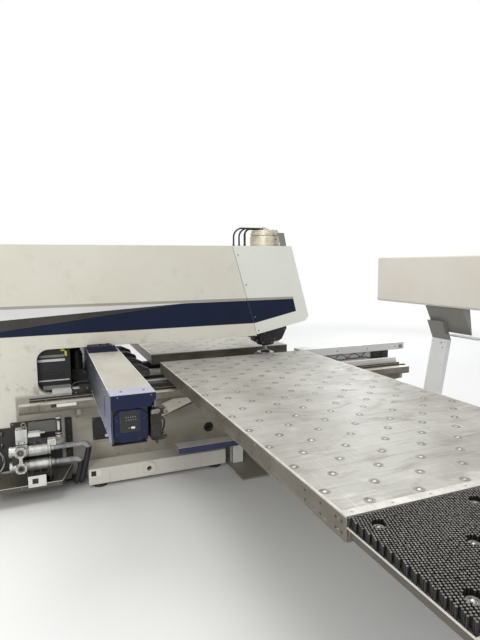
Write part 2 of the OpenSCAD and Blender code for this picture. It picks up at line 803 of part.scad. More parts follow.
module drip_tray() {
    x1 = -frame_half_w;
    color([0.78, 0.77, 0.72]) {
        difference() {
            translate([0, 0, 130]) linear_extrude(40)
                polygon([[x1, 2068], [-620, 2165], [-620, 2780], [x1, 2780]]);
            translate([0, 0, 134]) linear_extrude(40)
                polygon([[x1 - 4, 2073], [-616, 2169], [-616, 2776], [x1 - 4, 2776]]);
        }
        block([pump_x - 44, 2236, 133], [pump_x + 44, 2450, 150]);
    }
}

module cross_rail() {
    y0 = rail_front_y + rail_inset;
    y1 = rail_rear_y - rail_inset;
    color([0.50, 0.51, 0.52]) {
        difference() {
            block([-beam_end_x, y0, rail_low_z], [beam_end_x, y1, rail_top_z - 12]);
            block([-beam_end_x - 1, y0 + rail_wall, rail_low_z + rail_wall],
                [beam_end_x + 1, y1 - rail_wall, rail_top_z - 12 - rail_wall]);
        }
        for (z = [xrail_low_z, xrail_high_z])
            block([-beam_end_x, xrail_y - 10, z - xrail_size / 2], [beam_end_x, y0, z + xrail_size / 2]);
    }
}

module rail_lid() {
    z = rail_top_z;
    color([0.74, 0.73, 0.69]) both_sides() difference() {
        block([0, rail_front_y, z - 12], [rail_half_l - 15, rail_rear_y, z]);
        block([-1, rail_front_y + lid_t, z - 13], [rail_half_l - 14, rail_rear_y - lid_t, z - lid_t]);
    }
    color([0.74, 0.73, 0.69])
        for (x = [-1500, -900, 900, 1500])
            block([x - 20, rail_front_y + 60, z - 12], [x + 20, rail_rear_y - 60, z - lid_t]);
}

// Side sheets: the whole height at the rear, the upper half in front of the clamps
module rail_sides() {
    x1 = rail_half_l - 15;
    color([0.36, 0.40, 0.48]) difference() {
        union() {
            block([-x1, rail_rear_y - rail_inset, rail_low_z], [x1, rail_rear_y, rail_top_z - 12]);
            block([-x1, rail_front_y, rail_top_z - 100], [x1, rail_front_y + rail_inset, rail_top_z - 12]);
        }
        for (s = [-1, 1])
            block([s * (x1 - 312) - 9, rail_rear_y - rail_inset - 1, rail_low_z + 83],
                [s * (x1 - 312) + 9, rail_rear_y + 1, rail_low_z + 217]);
    }
}

module rail_ends() {
    z0 = rail_top_z - end_h;
    color([0.22, 0.27, 0.40]) both_sides() {
        side_run([[rail_front_y + 45, z0], [rail_rear_y, z0], [rail_rear_y, rail_top_z],
            [rail_front_y, rail_top_z], [rail_front_y, z0 + 45]], rail_half_l - 15, rail_half_l);
        block([beam_end_x, rail_front_y + rail_inset, z0],
            [rail_half_l - 15, rail_rear_y - rail_inset, z0 + 6]);
    }
}

// Eight-sided servo drives in the rail ends
module servo_drives() {
    color([0.20, 0.25, 0.37]) both_sides() {
        translate([0, rail_mid_y + 18, servo_z]) {
            side_run(cut_square(servo_w / 2 - 2, 3), beam_end_x + touch, beam_end_x + 56);
            side_run(cut_square(servo_w / 2, servo_w * 0.22), beam_end_x + 55, rail_half_l - 2);
        }
        rod_x(beam_end_x - 190, beam_end_x + 1, rail_mid_y + 18, servo_z, 70);
        block([beam_end_x - 190, rail_mid_y - 60, rail_low_z + rail_wall],
            [beam_end_x - 150, rail_mid_y + 100, servo_z - 40]);
    }
}

module rail_caps() {
    y0 = rail_front_y + 20;
    z1 = rail_top_z + cap_h;
    color([0.12, 0.15, 0.24]) both_sides() {
        difference() {
            side_run([[y0, rail_top_z], [rail_rear_y, rail_top_z], [rail_rear_y, z1], [y0 + 47, z1],
                [y0, rail_top_z + 12]], cap_x0, cap_x0 + cap_w);
            side_run([[y0 + 4, rail_top_z - 1], [rail_rear_y - 4, rail_top_z - 1],
                [rail_rear_y - 4, z1 - 4], [y0 + 49, z1 - 4], [y0 + 4, rail_top_z + 10]],
                cap_x0 - 1, cap_x0 + cap_w - 4);
        }
        for (y = [rail_mid_y - 35, rail_mid_y + 26])
            rod_z(z1, z1 + 12, cap_x0 + cap_w / 2, y, 9);
    }
}

// Greasy bracket beside the near servo drive
module end_bracket() {
    x = -rail_half_l + 40;
    y = rail_front_y;
    color([0.27, 0.24, 0.20]) {
        block([x - 24, y - 18, rail_low_z - 30], [x + 44, y, rail_top_z - 98]);
        block([x - 30, y - 30, rail_low_z - 6], [x + 40, y + 36, rail_top_z - 116]);
        block([x - 18, y - 66, rail_top_z - 150], [x + 30, y - 18, rail_top_z - 112]);
        rod_x(x - 34, x + 34, y - 58, rail_top_z - 131, 15);
        block([x - 10, y - 58, rail_low_z - 12], [x + 30, y - 18, rail_low_z + 34]);
        rod_x(x - 26, x + 34, y - 50, rail_low_z + 14, 17);
    }
}

// Longitudinal arms with bearing blocks, which carry the cross rail and the tables
module saddle() {
    z0 = block_low_z + block_h;
    color([0.24, 0.24, 0.25]) both_sides() {
        block([guide_x - arm_half_w, arm_front_y, z0], [guide_x + arm_half_w, rail_rear_y, rail_low_z]);
        for (y = block_ys)
            difference() {
                block([guide_x - 36, y - block_l / 2, block_low_z - 22],
                    [guide_x + 36, y + block_l / 2, z0]);
                block([guide_x - 15 - touch, y - block_l, block_low_z - 23],
                    [guide_x + 15 + touch, y + block_l, block_low_z]);
            }
        for (y = pad_ys)
            block([guide_x - 50, y - 50, rail_low_z], [guide_x + 50, y + 50, cover_low_z]);
    }
}

module table_frames() {
    x0 = table_in_x;
    x1 = table_out_x;
    y0 = table_front_y;
    y1 = table_rear_y;
    z0 = cover_low_z;
    z1 = table_z - panel_t;
    color([0.50, 0.49, 0.46]) both_sides() difference() {
        union() {
            difference() {
                block([x0, y0, z0], [x1, y1, z1]);
                block([x0 + wall_t, y0 + wall_t, z0 - 1], [x1 - wall_t, y1 - wall_t, z1 + 1]);
            }
            difference() {
                block([x1, y0 + 14, brush_low_z - 42], [brush_out_x, y1 - 14, brush_low_z]);
                block([x1 + 30, y0 + 44, z0 - 1], [brush_out_x - 30, y1 - 44, brush_low_z + 1]);
            }
            block([x1 - 60, y0 + 14, brush_low_z - 30], [x1, y1 - 14, brush_low_z]);
            for (y = [y0 + 440, seam_y, seam_y + 480])
                block([x0 + 2, y - rib_t / 2, z0 + 12], [x1 - 2, y + rib_t / 2, z1]);
            for (x = [guide_x, 1200, 2100, seam_x])
                block([x - rib_t / 2, y0 + 2, z0 + 12], [x + rib_t / 2, y1 - 2, z1]);
            for (y = pad_ys) block([x0 + 2, y - 50, z0], [guide_x + 60, y + 50, z0 + 14]);
            for (y = leg_ys) {
                block([leg_x - 40, y - 60, z0], [leg_x + 40, y + 60, z0 + 14]);
                block([leg_x - 34, y - 34, track_top_z + touch + 20], [leg_x + 34, y + 34, z0 + 1]);
                block([leg_x - track_half_w - 12, y - 90, track_top_z + touch],
                    [leg_x + track_half_w + 12, y + 90, track_top_z + touch + 21]);
            }
            for (z = [260, 620])
                block([leg_x - 10, leg_ys[0], z], [leg_x + 10, leg_ys[1], z + 40]);
            block([leg_x - 8, y0 + 2, z0], [leg_x + 8, y1 - 2, z0 + 14]);
        }
        for (x = [x1 - 60, x1 - 150, x1 - 240, 1500, 2100])
            block([x - 14, y1 - wall_t - 1, z0 + 16], [x + 14, y1 + 1, z0 + 24]);
    }
}

// Rear panel, front panel and end panel of each table
module table_panels() {
    z0 = table_z - panel_t;
    g = 1;
    color([0.75, 0.74, 0.70]) both_sides() {
        block([table_in_x, seam_y + g, z0], [seam_x - g, table_rear_y, table_z]);
        block([table_in_x, table_front_y, z0], [seam_x - g, seam_y - g, table_z]);
        translate([0, 0, z0]) linear_extrude(panel_t)
            polygon([[seam_x + g, table_front_y], [table_out_x, table_front_y],
                [table_out_x, table_rear_y - 22], [table_out_x - 22, table_rear_y],
                [seam_x + g, table_rear_y]]);
    }
}

// Rings of the ball inserts, in staggered rows
module ball_inserts() {
    color([0.66, 0.65, 0.62]) both_sides()
        for (k = [0 : row_count - 1])
            let (x = first_row_x - k * ball_pitch_x, top = k % 2 == 0 ? 1061 : 1186)
                for (y = [top : -ball_pitch_y : table_front_y + 45])
                    translate([x, y, table_z]) cylinder(r = ball_ring_d / 2, h = ring_h_ball, $fn = 8);
}

module brush_beds() {
    color([0.09, 0.09, 0.09]) both_sides() difference() {
        union() {
            block([table_out_x + 3, table_front_y, brush_low_z], [brush_out_x - 34, table_rear_y,
                brush_top_z]);
            block([brush_out_x - 35, table_front_y, brush_low_z], [brush_out_x, table_rear_y,
                brush_low_z + 6]);
        }
        for (i = [0 : 2], j = [0 : 3])
            let (x = table_out_x + 83 + i * hole_pitch_x,
                 y = 1136 - j * hole_pitch_y - (i % 2) * hole_pitch_y / 2)
                if (y > table_front_y + 40)
                    rod_z(brush_low_z - 1, brush_top_z + 1, x, y, brush_hole_r);
    }
}

module clamp_carriage() {
    y1 = plate_y + plate_t;
    z0 = rail_low_z + 28;
    z1 = rail_low_z + 186;
    color([0.34, 0.35, 0.36]) difference() {
        union() {
            block([-carriage_half_l, plate_y, z0], [carriage_half_l, y1, z1]);
            for (x = [-carriage_half_l + 90, 0, carriage_half_l - 90], z = [xrail_low_z, xrail_high_z])
                difference() {
                    block([x - 70, y1 - 1, z - 27], [x + 70, rail_front_y + 4, z + 27]);
                    block([x - 71, xrail_y - 10 - touch, z - xrail_size / 2 - touch],
                        [x + 71, rail_front_y + 5, z + xrail_size / 2 + touch]);
                }
            for (x = clamp_xs) {
                block([x - clamp_w / 2, clamp_front_y, table_z - 40], [x + clamp_w / 2, plate_y + 1,
                    table_z - 0.5]);
                block([x - clamp_w / 2, plate_y - 42, table_z - 60], [x + clamp_w / 2, plate_y + 1,
                    table_z - 0.5]);
                for (s = [0, 1])
                    block([x - clamp_w / 2 + s * (clamp_w - ear_t), jaw_y - 26, table_z - 1],
                        [x - clamp_w / 2 + s * (clamp_w - ear_t) + ear_t, jaw_y + 26, jaw_z + 24]);
            }
        }
        for (x = clamp_xs) rod_x(x - clamp_w, x + clamp_w, jaw_y, jaw_z, jaw_pin_r + run_gap);
    }
}

module clamp_jaws() {
    low = table_z + sheet_gap - 0.5 - jaw_z;
    color([0.55, 0.56, 0.57]) for (x = clamp_xs) {
        difference() {
            translate([0, jaw_y, jaw_z])
                side_run([[clamp_front_y - jaw_y + 2, low], [clamp_front_y - jaw_y + 2, low + 14],
                    [-34, 20], [30, 20], [30, -14], [-22, -14], [-40, low]],
                    x - clamp_w / 2 + ear_t + touch, x + clamp_w / 2 - ear_t - touch);
        }
        rod_x(x - clamp_w / 2, x + clamp_w / 2, jaw_y, jaw_z, jaw_pin_r);
    }
}

module floor_tracks() {
    y0 = leg_ys[0] - 90 - y_travel - 40;
    y1 = leg_ys[1] + 80;
    color([0.30, 0.30, 0.31]) both_sides() {
        block([leg_x - track_half_w - 40, y0, 0], [leg_x + track_half_w + 40, y1, 12]);
        block([leg_x - track_half_w, y0, 11], [leg_x + track_half_w, y1, track_top_z]);
    }
}

// Leaning post with its foot on the floor
module console_post() {
    color([0.90, 0.91, 0.92]) {
        block([console_x - 190, post_foot_y - 330, 0], [console_x + 190, post_foot_y + 20, 12]);
        translate([console_x, post_foot_y - 40, 6]) rotate([post_lean, 0, 0]) difference() {
            translate([-post_w / 2, -post_t / 2, 0]) cube([post_w, post_t, post_l]);
            translate([-post_w / 2 + 4, -post_t / 2 + 4, 20])
                cube([post_w - 8, post_t - 8, post_l]);
        }
    }
}

// Kinked arm from the post to the housing, with a wide folded sheet and a small shelf
module console_arm() {
    a = post_lean;
    py = post_foot_y - 40 - post_l * sin(a);
    pz = 6 + post_l * cos(a);
    x0 = console_x - 430;
    x1 = console_x + post_w / 2;
    y1 = console_y - 40;
    color([0.46, 0.46, 0.45]) {
        side_run([[py + post_t / 2 * cos(a), pz + post_t / 2 * sin(a)], [py + 118, pz + 215],
            [py + 62, pz + 215], [py - post_t / 2 * cos(a), pz - post_t / 2 * sin(a)]],
            console_x - post_w / 2, x1);
        side_run([[py + 8, pz + 93], [y1, console_low_z - 7], [y1 - 8, console_low_z - 7],
            [py, pz + 93]], x0, x1);
        block([x0, console_y - console_t + 16, console_low_z - 8], [x1, y1, console_low_z]);
        side_run([[py + 4, pz + 93], [y1 - 4, console_low_z - 7], [console_y - console_t + 20,
            console_low_z - 7]],
            x0, x0 + 8);
        side_run([[py + 4, pz + 93], [y1 - 4, console_low_z - 7], [console_y - console_t + 20,
            console_low_z - 7]],
            x1 - 8, x1);
        block([x0 - 130, py - 60, pz + 63], [console_x - post_w / 2 + 1, py + 70, pz + 70]);
        rod_x(console_x - post_w / 2 - 26, console_x - post_w / 2 + 1, py + 74, pz + 193, 13);
    }
}

// Long housing with round edges
module console_housing() {
    r = console_round;
    y0 = console_y - console_t;
    z0 = console_low_z;
    z1 = console_low_z + console_h;
    color([0.82, 0.80, 0.74]) difference() {
        union() {
            block([console_right_x, y0 + r, z0], [console_left_x, console_y - r, z1]);
            block([console_right_x, y0, z0 + r], [console_left_x, console_y, z1 - r]);
            for (y = [y0 + r, console_y - r], z = [z0 + r, z1 - r])
                rod_x(console_right_x, console_left_x, y, z, r);
        }
        block([console_x - 300, y0 - 1, z0 + 180], [console_x + 220, y0 + 8, z1 - 60]);
        rod_y(y0 - 1, y0 + 30 + touch, button_x, button_z, 11 + run_gap);
        rod_y(y0 - 1, y0 + 30 + touch, button_x - 90, button_z, 9 + run_gap);
        rod_x(console_left_x - 6, console_left_x + 1, console_y - 30, z0 + console_h / 2, 11);
    }
}

module estop_button() {
    color([0.78, 0.10, 0.08]) {
        rod_y(button_y - 34, button_y - 14, button_x, button_z, 21);
        rod_y(button_y - 15, button_y + 18, button_x, button_z, 11);
    }
}

module start_button() {
    color([0.15, 0.50, 0.22]) {
        rod_y(button_y - 12, button_y - 7, button_x - 90, button_z, 13);
        rod_y(button_y - 8, button_y + 20, button_x - 90, button_z, 9);
    }
}

module switch_cabinet() {
    w = cabinet_half_w;
    y0 = cabinet_y;
    y1 = cabinet_y + cabinet_depth;
    z0 = cabinet_low_z;
    z1 = z0 + cabinet_h;
    t = cabinet_wall;
    color([0.79, 0.78, 0.72]) {
        difference() {
            block([-w, y0, z0], [w, y1, z1]);
            block([-w + t, y0 + t, z0 + t], [w - t, y1 + 1, z1 - t]);
        }
        block([-w + 20, y0 + 20, 0], [w - 20, y1 - 40, z0]);
        block([-w + 40, y0 + t, z0 + 120], [w - 40, y0 + t + 6, z1 - 120]);
        for (z = hinge_zs) difference() {
            union() {
                rod_z(z - 60, z - 20, w + hinge_r + 2, y1 + door_t / 2, hinge_r);
                block([w - t, y1 - 30, z - 60], [w + hinge_r + 2, y1 - 22, z - 20]);
                block([w + hinge_r + 2 - 4, y1 - 30, z - 60], [w + hinge_r + 2 + 4, y1 + door_t / 2, z - 20]);
            }
            rod_z(z - 61, z - 19, w + hinge_r + 2, y1 + door_t / 2, 4 + run_gap);
        }
    }
}

module cabinet_door() {
    w = cabinet_half_w;
    y0 = cabinet_y + cabinet_depth + 1;
    z0 = cabinet_low_z + door_gap;
    z1 = cabinet_low_z + cabinet_h - door_gap;
    hy = cabinet_y + cabinet_depth + door_t / 2;
    hx = w + hinge_r + 2;
    color([0.79, 0.78, 0.72]) {
        block([-w + door_gap, y0, z0], [w - door_gap, y0 + door_t - 1, z1]);
        block([-w + 30, y0 + door_t - 2, handle_z - 60], [-w + 54, y0 + door_t + 22, handle_z + 60]);
        for (z = hinge_zs) {
            rod_z(z - 19, z + 20, hx, hy, hinge_r);
            rod_z(z - 60, z - 18, hx, hy, 4);
            block([w - door_gap - 1, hy - 4, z - 19], [hx, hy + 4, z + 20]);
        }
    }
}

c_frame();
head_cover();
stripe_band();
stripe_wedge();
stripe_pale();
stripe_line();
head_screws();
drive_housing();
drive_ring();
drive_fittings();
drive_bracket();
drive_hoses();
head_body();
tool_adapter();
ram();
punch();
die_holder();
die_ring();
die();
centre_bar();
bar_posts();
valve_panel();
guide_beams();
guide_rails();
cable_ducts();
drive_rack();
drive_motor();
guide_brackets();
base_beams();
foot_pads();
anchor_plates();
throat_guard();
floor_duct();
chute_plate();
toe_bar();
service_panel();
pump_plate();
pump_body();
pump_hoses();
drip_tray();
cross_rail();
rail_lid();
rail_sides();
rail_ends();
servo_drives();
rail_caps();
end_bracket();
saddle();
table_frames();
table_panels();
ball_inserts();
brush_beds();
clamp_carriage();
clamp_jaws();
floor_tracks();
console_post();
console_arm();
console_housing();
estop_button();
start_button();
switch_cabinet();
cabinet_door();
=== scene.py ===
"""Looks of a single-head sheet metal punching machine with travelling tables.

Lengths in this file are millimetres in the row's own frame, and go to metres when a piece is finished.
Lengths inside a finish are metres, and its colours are display values from 0 to 255.
"""

import math
import random

import bmesh
import bpy
import numpy as np
from mathutils import Matrix, Vector


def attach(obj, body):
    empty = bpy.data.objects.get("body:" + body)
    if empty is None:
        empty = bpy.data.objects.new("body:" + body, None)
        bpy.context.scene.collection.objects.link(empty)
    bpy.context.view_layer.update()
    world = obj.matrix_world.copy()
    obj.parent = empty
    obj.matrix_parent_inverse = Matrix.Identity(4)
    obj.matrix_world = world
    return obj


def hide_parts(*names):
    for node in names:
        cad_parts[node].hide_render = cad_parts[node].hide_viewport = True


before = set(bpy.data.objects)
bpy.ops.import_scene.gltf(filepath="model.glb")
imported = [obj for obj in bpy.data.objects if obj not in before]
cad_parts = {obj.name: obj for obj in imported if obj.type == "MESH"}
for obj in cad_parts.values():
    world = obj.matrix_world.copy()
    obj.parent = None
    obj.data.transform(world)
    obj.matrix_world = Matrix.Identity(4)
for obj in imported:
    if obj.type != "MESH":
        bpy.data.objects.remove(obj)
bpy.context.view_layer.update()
MM = 0.001
X, Y, Z = 0, 1, 2
random.seed(7)

# ------------------------------------------------------------------ places on the machine
FRAME_HALF, FRAME_SIDE = 280, -280
TABLE_TOP = 1030
TABLE_IN, TABLE_OUT, BRUSH_OUT = 212, 3375, 4000
TABLE_FRONT, TABLE_REAR = -376, 1220
RAIL_FRONT, RAIL_REAR, RAIL_TOP, RAIL_LOW = 1630, 1900, 1208, 905
RAIL_END, RAIL_BEAM_END = 1965, 1880
ROOF, DRIVE_TOP = 2150, 2300
BEAM_SIDE, COVER_SIDE = -640, -545
PLATE_SIDE, TRAY_SIDE = -290, -620
PUMP_X, PUMP_LOW, PUMP_HIGH = -470, 286, 418
FLANGE_Y, GAUGE_Y = 2480, 2173
SERVO_Y, SERVO_Z = 1783, 1012
CONSOLE_X, CONSOLE_Y, CONSOLE_BACK = -530, -1800, -1960
CONSOLE_LEFT, CONSOLE_RIGHT = 410, -1240
CONSOLE_LOW, CONSOLE_TOP = 1484, 2050
ESTOP_X, START_X, BUTTON_Z = -200, -290, 1594
DOOR_Y = 3692


def srgb(red, green, blue):
    """A colour written in 0 to 255 display values, as the linear one that a shader takes."""
    parts = [c / 255 for c in (red, green, blue)]
    return [c / 12.92 if c <= 0.04045 else ((c + 0.055) / 1.055) ** 2.4 for c in parts] + [1.0]


# ------------------------------------------------------------------ materials
class Value:
    """An output socket. Arithmetic on it adds Math nodes."""

    def __init__(self, graph, socket):
        self.graph, self.socket = graph, socket

    def _math(self, operation, first, second=0.0):
        return self.graph.node("Math", {"operation": operation}, {0: first, 1: second})

    def __add__(self, other):
        return self._math("ADD", self, other)

    def __sub__(self, other):
        return self._math("SUBTRACT", self, other)

    def __rsub__(self, other):
        return self._math("SUBTRACT", other, self)

    def __mul__(self, other):
        return self._math("MULTIPLY", self, other)

    __radd__ = __add__
    __rmul__ = __mul__

    def step(self, low, high):
        """0 below low, 1 above high, smooth between."""
        ends = {"Value": self, "From Min": low, "From Max": high}
        return self.graph.node("MapRange", {"interpolation_type": "SMOOTHSTEP"}, ends)

    def least(self, other):
        return self._math("MINIMUM", self, other)

    def size(self):
        return self._math("ABSOLUTE", self)


class Graph:
    """One material and its nodes."""

    def __init__(self, name):
        self.material = bpy.data.materials.new(name)
        self.material.use_nodes = True
        self.tree = self.material.node_tree
        self.tree.nodes.clear()
        self.place = self.node("TexCoord", out="Object")

    def node(self, kind, settings=(), sockets=(), out=0):
        made = self.tree.nodes.new("ShaderNode" + kind)
        for key, value in dict(settings).items():
            setattr(made, key, value)
        for key, value in dict(sockets).items():
            if isinstance(value, Value):
                self.tree.links.new(value.socket, made.inputs[key])
            else:
                made.inputs[key].default_value = value
        return Value(self, made.outputs[out])

    def blend(self, share, low, high):
        """From colour low at share 0 to colour high at share 1. A tuple is a plain display colour."""
        low, high = (srgb(*c) if isinstance(c, tuple) else c for c in (low, high))
        return self.node("Mix", {"data_type": "RGBA"}, {0: share, 6: low, 7: high}, out=2)

    def noise(self, scale, detail=4, stretch=None, rough=0.55, warp=0.0):
        vector = self.place
        if stretch:
            vector = self.node("VectorMath", {"operation": "MULTIPLY"}, {0: self.place, 1: stretch})
        sockets = {"Vector": vector, "Scale": scale, "Detail": detail, "Roughness": rough, "Distortion": warp}
        return self.node("TexNoise", {}, sockets)

    def cells(self, scale):
        return self.node("TexVoronoi", {}, {"Vector": self.place, "Scale": scale}, out="Distance")

    def along(self, axis):
        """The place along one axis of the row frame, in metres."""
        return self.node("SeparateXYZ", {}, {0: self.place}, out=axis)

    def shade_in_corners(self, reach):
        """1 deep in a corner, 0 in the open: ambient occlusion, for painting shade into corners."""
        return 1 - self.node("AmbientOcclusion", {"samples": 6}, {"Distance": reach}, out="AO")

    def edge(self, radius):
        """1 along an outer edge, 0 on a flat."""
        soft = self.node("Bevel", {"samples": 4}, {"Radius": radius})
        hard = self.node("NewGeometry", out="Normal")
        same = self.node("VectorMath", {"operation": "DOT_PRODUCT"}, {0: soft, 1: hard}, out="Value")
        return (1 - same).step(0.03, 0.16)

    def up(self):
        """1 on a face that looks up, 0 on a wall."""
        return self.node("SeparateXYZ", {}, {0: self.node("NewGeometry", out="Normal")}, out=Z)

    def bump(self, height, strength, distance):
        return self.node("Bump", {}, {"Height": height, "Strength": strength, "Distance": distance})

    def closed(self, shader):
        """Joins the shader to the material's output."""
        end = self.tree.nodes.new("ShaderNodeOutputMaterial")
        self.tree.links.new(shader.socket, end.inputs["Surface"])
        return self.material

    def surface(self, tone, rough, normal, metal=0.0, coat=0.0, specular=0.5):
        sockets = {"Base Color": tone, "Roughness": rough, "Metallic": metal,
                   "Coat Weight": coat, "Specular IOR Level": specular, "Normal": normal}
        return self.closed(self.node("BsdfPrincipled", {}, sockets))


def paint(name, colour, shade, grime_and_shade=0.35, rough=0.42, wear=0.0, bare=(120, 116, 108),
          runs=0.3, soil_and_shade_tone=(92, 80, 62), specular=0.5):
    """Sprayed paint: faint clouding, painted shade with dirt in the corners, dirt in blotches and runs, and
    worn edges.
    """
    g = Graph(name)
    clouds = g.noise(1.1, 5).step(0.38, 0.72)
    tone = g.blend(clouds * 0.5, colour, shade)
    blotch = g.noise(5.5, 6, rough=0.62).step(0.52, 0.74)
    streak = g.noise(7, 5, stretch=(2.2, 2.2, 0.22), rough=0.6).step(0.56, 0.8)
    # painted shade: corners darkened by ambient occlusion, added to dirt blotches and runs
    corner = g.shade_in_corners(0.07).step(0.22, 0.95)
    soil_and_shade_mask = (corner * (0.35 + blotch) + blotch * 0.10 + streak * runs * 0.35) * grime_and_shade
    tone = g.blend(soil_and_shade_mask.least(0.85), tone, soil_and_shade_tone)
    specks = g.cells(38).step(0.13, 0.05) * g.noise(2.6, 3).step(0.56, 0.66)
    tone = g.blend(specks * 0.5 * grime_and_shade, tone, (70, 62, 52))
    if wear:
        worn = g.edge(0.004) * g.noise(34, 4).step(0.42, 0.62)
        tone = g.blend(worn * wear, tone, bare)
    fine = g.noise(420, 2) * 0.6 + g.noise(90, 3) * 0.4
    matt = rough + soil_and_shade_mask * 0.25 + g.noise(3.1, 4) * 0.12
    return g.surface(tone, matt, normal=g.bump(fine, 0.12, 0.0006), specular=specular)


def frame_paint():
    """The frame's cream paint, with the lower arm painted darker as painted shadow and an oily tone, painted
    shade in the corners, and the oily rim of the throat.
    """
    g = Graph("frame_cream_paint")
    tone = g.blend(g.noise(0.9, 5).step(0.36, 0.74) * 0.75, (222, 219, 207), (213, 208, 192))
    y, z = g.along(Y), g.along(Z)
    # painted shadow of the guide beams and tables: the lower arm is painted darker, partly as an oily tone
    low = (1 - z.step(0.815, 0.86)) * (1 - y.step(2.50, 2.52))
    clouds = g.noise(2.2, 6, stretch=(1, 0.6, 1.6)).step(0.35, 0.7)
    lower_arm_grease_and_shade_tone = g.blend(clouds, (178, 173, 160), (146, 140, 127))
    tone = g.blend(low * 0.9, tone, lower_arm_grease_and_shade_tone)
    # oil and fingermarks round the throat and above the pump set
    rim = (1 - (z - 1.0).size().step(0.10, 0.42)) * y.step(0.4, 1.6) * (1 - y.step(2.3, 2.95))
    blotch = g.noise(8.5, 6, rough=0.66).step(0.53, 0.7)
    fine_blotch = g.noise(31, 5, rough=0.7).step(0.6, 0.72)
    streak = g.noise(6.5, 5, stretch=(2.2, 2.6, 0.2), rough=0.6).step(0.57, 0.8)
    # painted shade: corners darkened by ambient occlusion, added to the oil blotches and runs
    corner = g.shade_in_corners(0.09).step(0.2, 0.95)
    soil_and_shade_mask = rim * (blotch * 0.45 + fine_blotch * 0.6) + corner * (0.25 + blotch) * 0.5
    soil_and_shade_mask = soil_and_shade_mask + streak * (1 - z.step(0.5, 1.9)) * 0.28 + blotch * 0.06
    tone = g.blend(soil_and_shade_mask.least(0.8), tone, (84, 72, 54))
    foot = 1 - z.step(0.05, 0.42)
    tone = g.blend(foot * g.noise(4, 5).step(0.35, 0.6) * 0.5, tone, (96, 86, 68))
    specks = g.cells(24).step(0.11, 0.03) * g.noise(1.7, 3).step(0.55, 0.66)
    tone = g.blend(specks * 0.6, tone, (96, 84, 66))
    fine = g.noise(420, 2) * 0.5 + g.noise(60, 3) * 0.5
    matt = 0.40 + soil_and_shade_mask * 0.2 + g.noise(2.3, 4) * 0.14
    return g.surface(tone, matt, normal=g.bump(fine, 0.10, 0.0006))


def film(name, colour, shade, rough=0.4, specular=0.5):
    """Printed self-adhesive film."""
    g = Graph(name)
    tone = g.blend(g.noise(2.4, 5).step(0.35, 0.7) * 0.6, colour, shade)
    dust = g.noise(46, 5, rough=0.7).step(0.58, 0.78) * g.noise(3, 4).step(0.42, 0.62)
    tone = g.blend(dust * 0.10, tone, (190, 184, 170))
    matt = rough + g.noise(5, 4) * 0.16
    return g.surface(tone, matt, normal=g.bump(g.noise(55, 3), 0.05, 0.0005), specular=specular)


def plate_steel():
    """Bright table plate, scuffed by the sheets that slide over it."""
    g = Graph("table_plate_steel")
    base = g.blend(g.noise(1.15, 6, warp=0.4).step(0.36, 0.66), (166, 164, 157), (143, 141, 133))
    drag_y = g.noise(15, 6, stretch=(2.6, 0.16, 1), rough=0.68).step(0.50, 0.72)
    drag_x = g.noise(13, 6, stretch=(0.2, 2.2, 1), rough=0.68).step(0.53, 0.76)
    smear = g.noise(3.0, 7, stretch=(1.3, 0.6, 1), rough=0.66, warp=1.4).step(0.5, 0.68)
    tone = g.blend(drag_y * 0.42, base, (128, 125, 118))
    tone = g.blend(drag_x * 0.25, tone, (138, 134, 126))
    tone = g.blend(smear * 0.34, tone, (112, 108, 100))
    pale = g.noise(7, 6, stretch=(0.8, 0.35, 1), rough=0.7).step(0.56, 0.72)
    tone = g.blend(pale * 0.45, tone, (202, 200, 193))
    scratch = g.noise(85, 3, stretch=(3.2, 0.05, 1), rough=0.5).step(0.63, 0.7)
    cross = g.noise(70, 3, stretch=(0.05, 2.8, 1), rough=0.5).step(0.65, 0.71)
    tone = g.blend((scratch + cross).least(1.0) * 0.4, tone, (224, 222, 214))
    dots = g.cells(13).step(0.10, 0.03) * g.noise(2.0, 4).step(0.52, 0.62)
    tone = g.blend(dots * 0.5, tone, (86, 78, 66))
    tone = g.blend(g.edge(0.003) * 0.7, tone, (226, 224, 216))
    matt = 0.46 + smear * 0.16 + drag_y * 0.12 - pale * 0.06
    height = g.noise(150, 3, stretch=(2.4, 0.12, 1)) * 0.6 + g.noise(5, 3) * 0.4
    return g.surface(tone, matt, metal=0.22, normal=g.bump(height, 0.12, 0.0006))


def skirt_paint():
    """Grey-brown folded skirt below the table plates, darker below the brush beds."""
    g = Graph("table_skirt_paint")
    tone = g.blend(g.noise(3.2, 6).step(0.35, 0.7), (114, 108, 97), (86, 81, 71))
    rub = g.noise(12, 6, stretch=(0.25, 0.25, 2.4), rough=0.66).step(0.52, 0.72)
    tone = g.blend(rub * 0.35, tone, (158, 153, 141))
    blotch = g.noise(17, 6, rough=0.7).step(0.56, 0.72)
    tone = g.blend(blotch * 0.35, tone, (70, 63, 52))
    tone = g.blend(g.along(X).size().step(3.38, 3.39) * 0.55, tone, (66, 63, 56))
    tone = g.blend(g.edge(0.0035) * g.noise(22, 4).step(0.34, 0.52), tone, (214, 210, 198))
    return g.surface(tone, 0.44 + blotch * 0.15, metal=0.15, normal=g.bump(g.noise(240, 3), 0.12, 0.0006))


def steel(name, colour, dark, rough=0.34, metal=0.85, grease_and_shade_amount=0.4, lines=(1, 1, 1), scale=1.0):
    """Machined or drawn steel, with tool lines, oily patches and painted shade in its corners."""
    g = Graph(name)
    turned = g.noise(110 * scale, 3, stretch=lines, rough=0.5)
    tone = g.blend(g.noise(9 * scale, 5).step(0.32, 0.72), colour, dark)
    # oily patches, with painted shade in the corners from ambient occlusion
    grease_and_shade_mask = g.noise(14 * scale, 6, rough=0.68).step(0.46, 0.66) + g.shade_in_corners(0.03).step(0.25, 0.9)
    grease_and_shade_mask = grease_and_shade_mask.least(1.0)
    tone = g.blend(grease_and_shade_mask * grease_and_shade_amount, tone, (34, 30, 25))
    tone = g.blend(g.edge(0.002) * 0.5, tone, (206, 204, 198))
    matt = rough + grease_and_shade_mask * grease_and_shade_amount * 0.25 + turned * 0.10
    return g.surface(tone, matt, metal=metal, normal=g.bump(turned, 0.15, 0.0004))


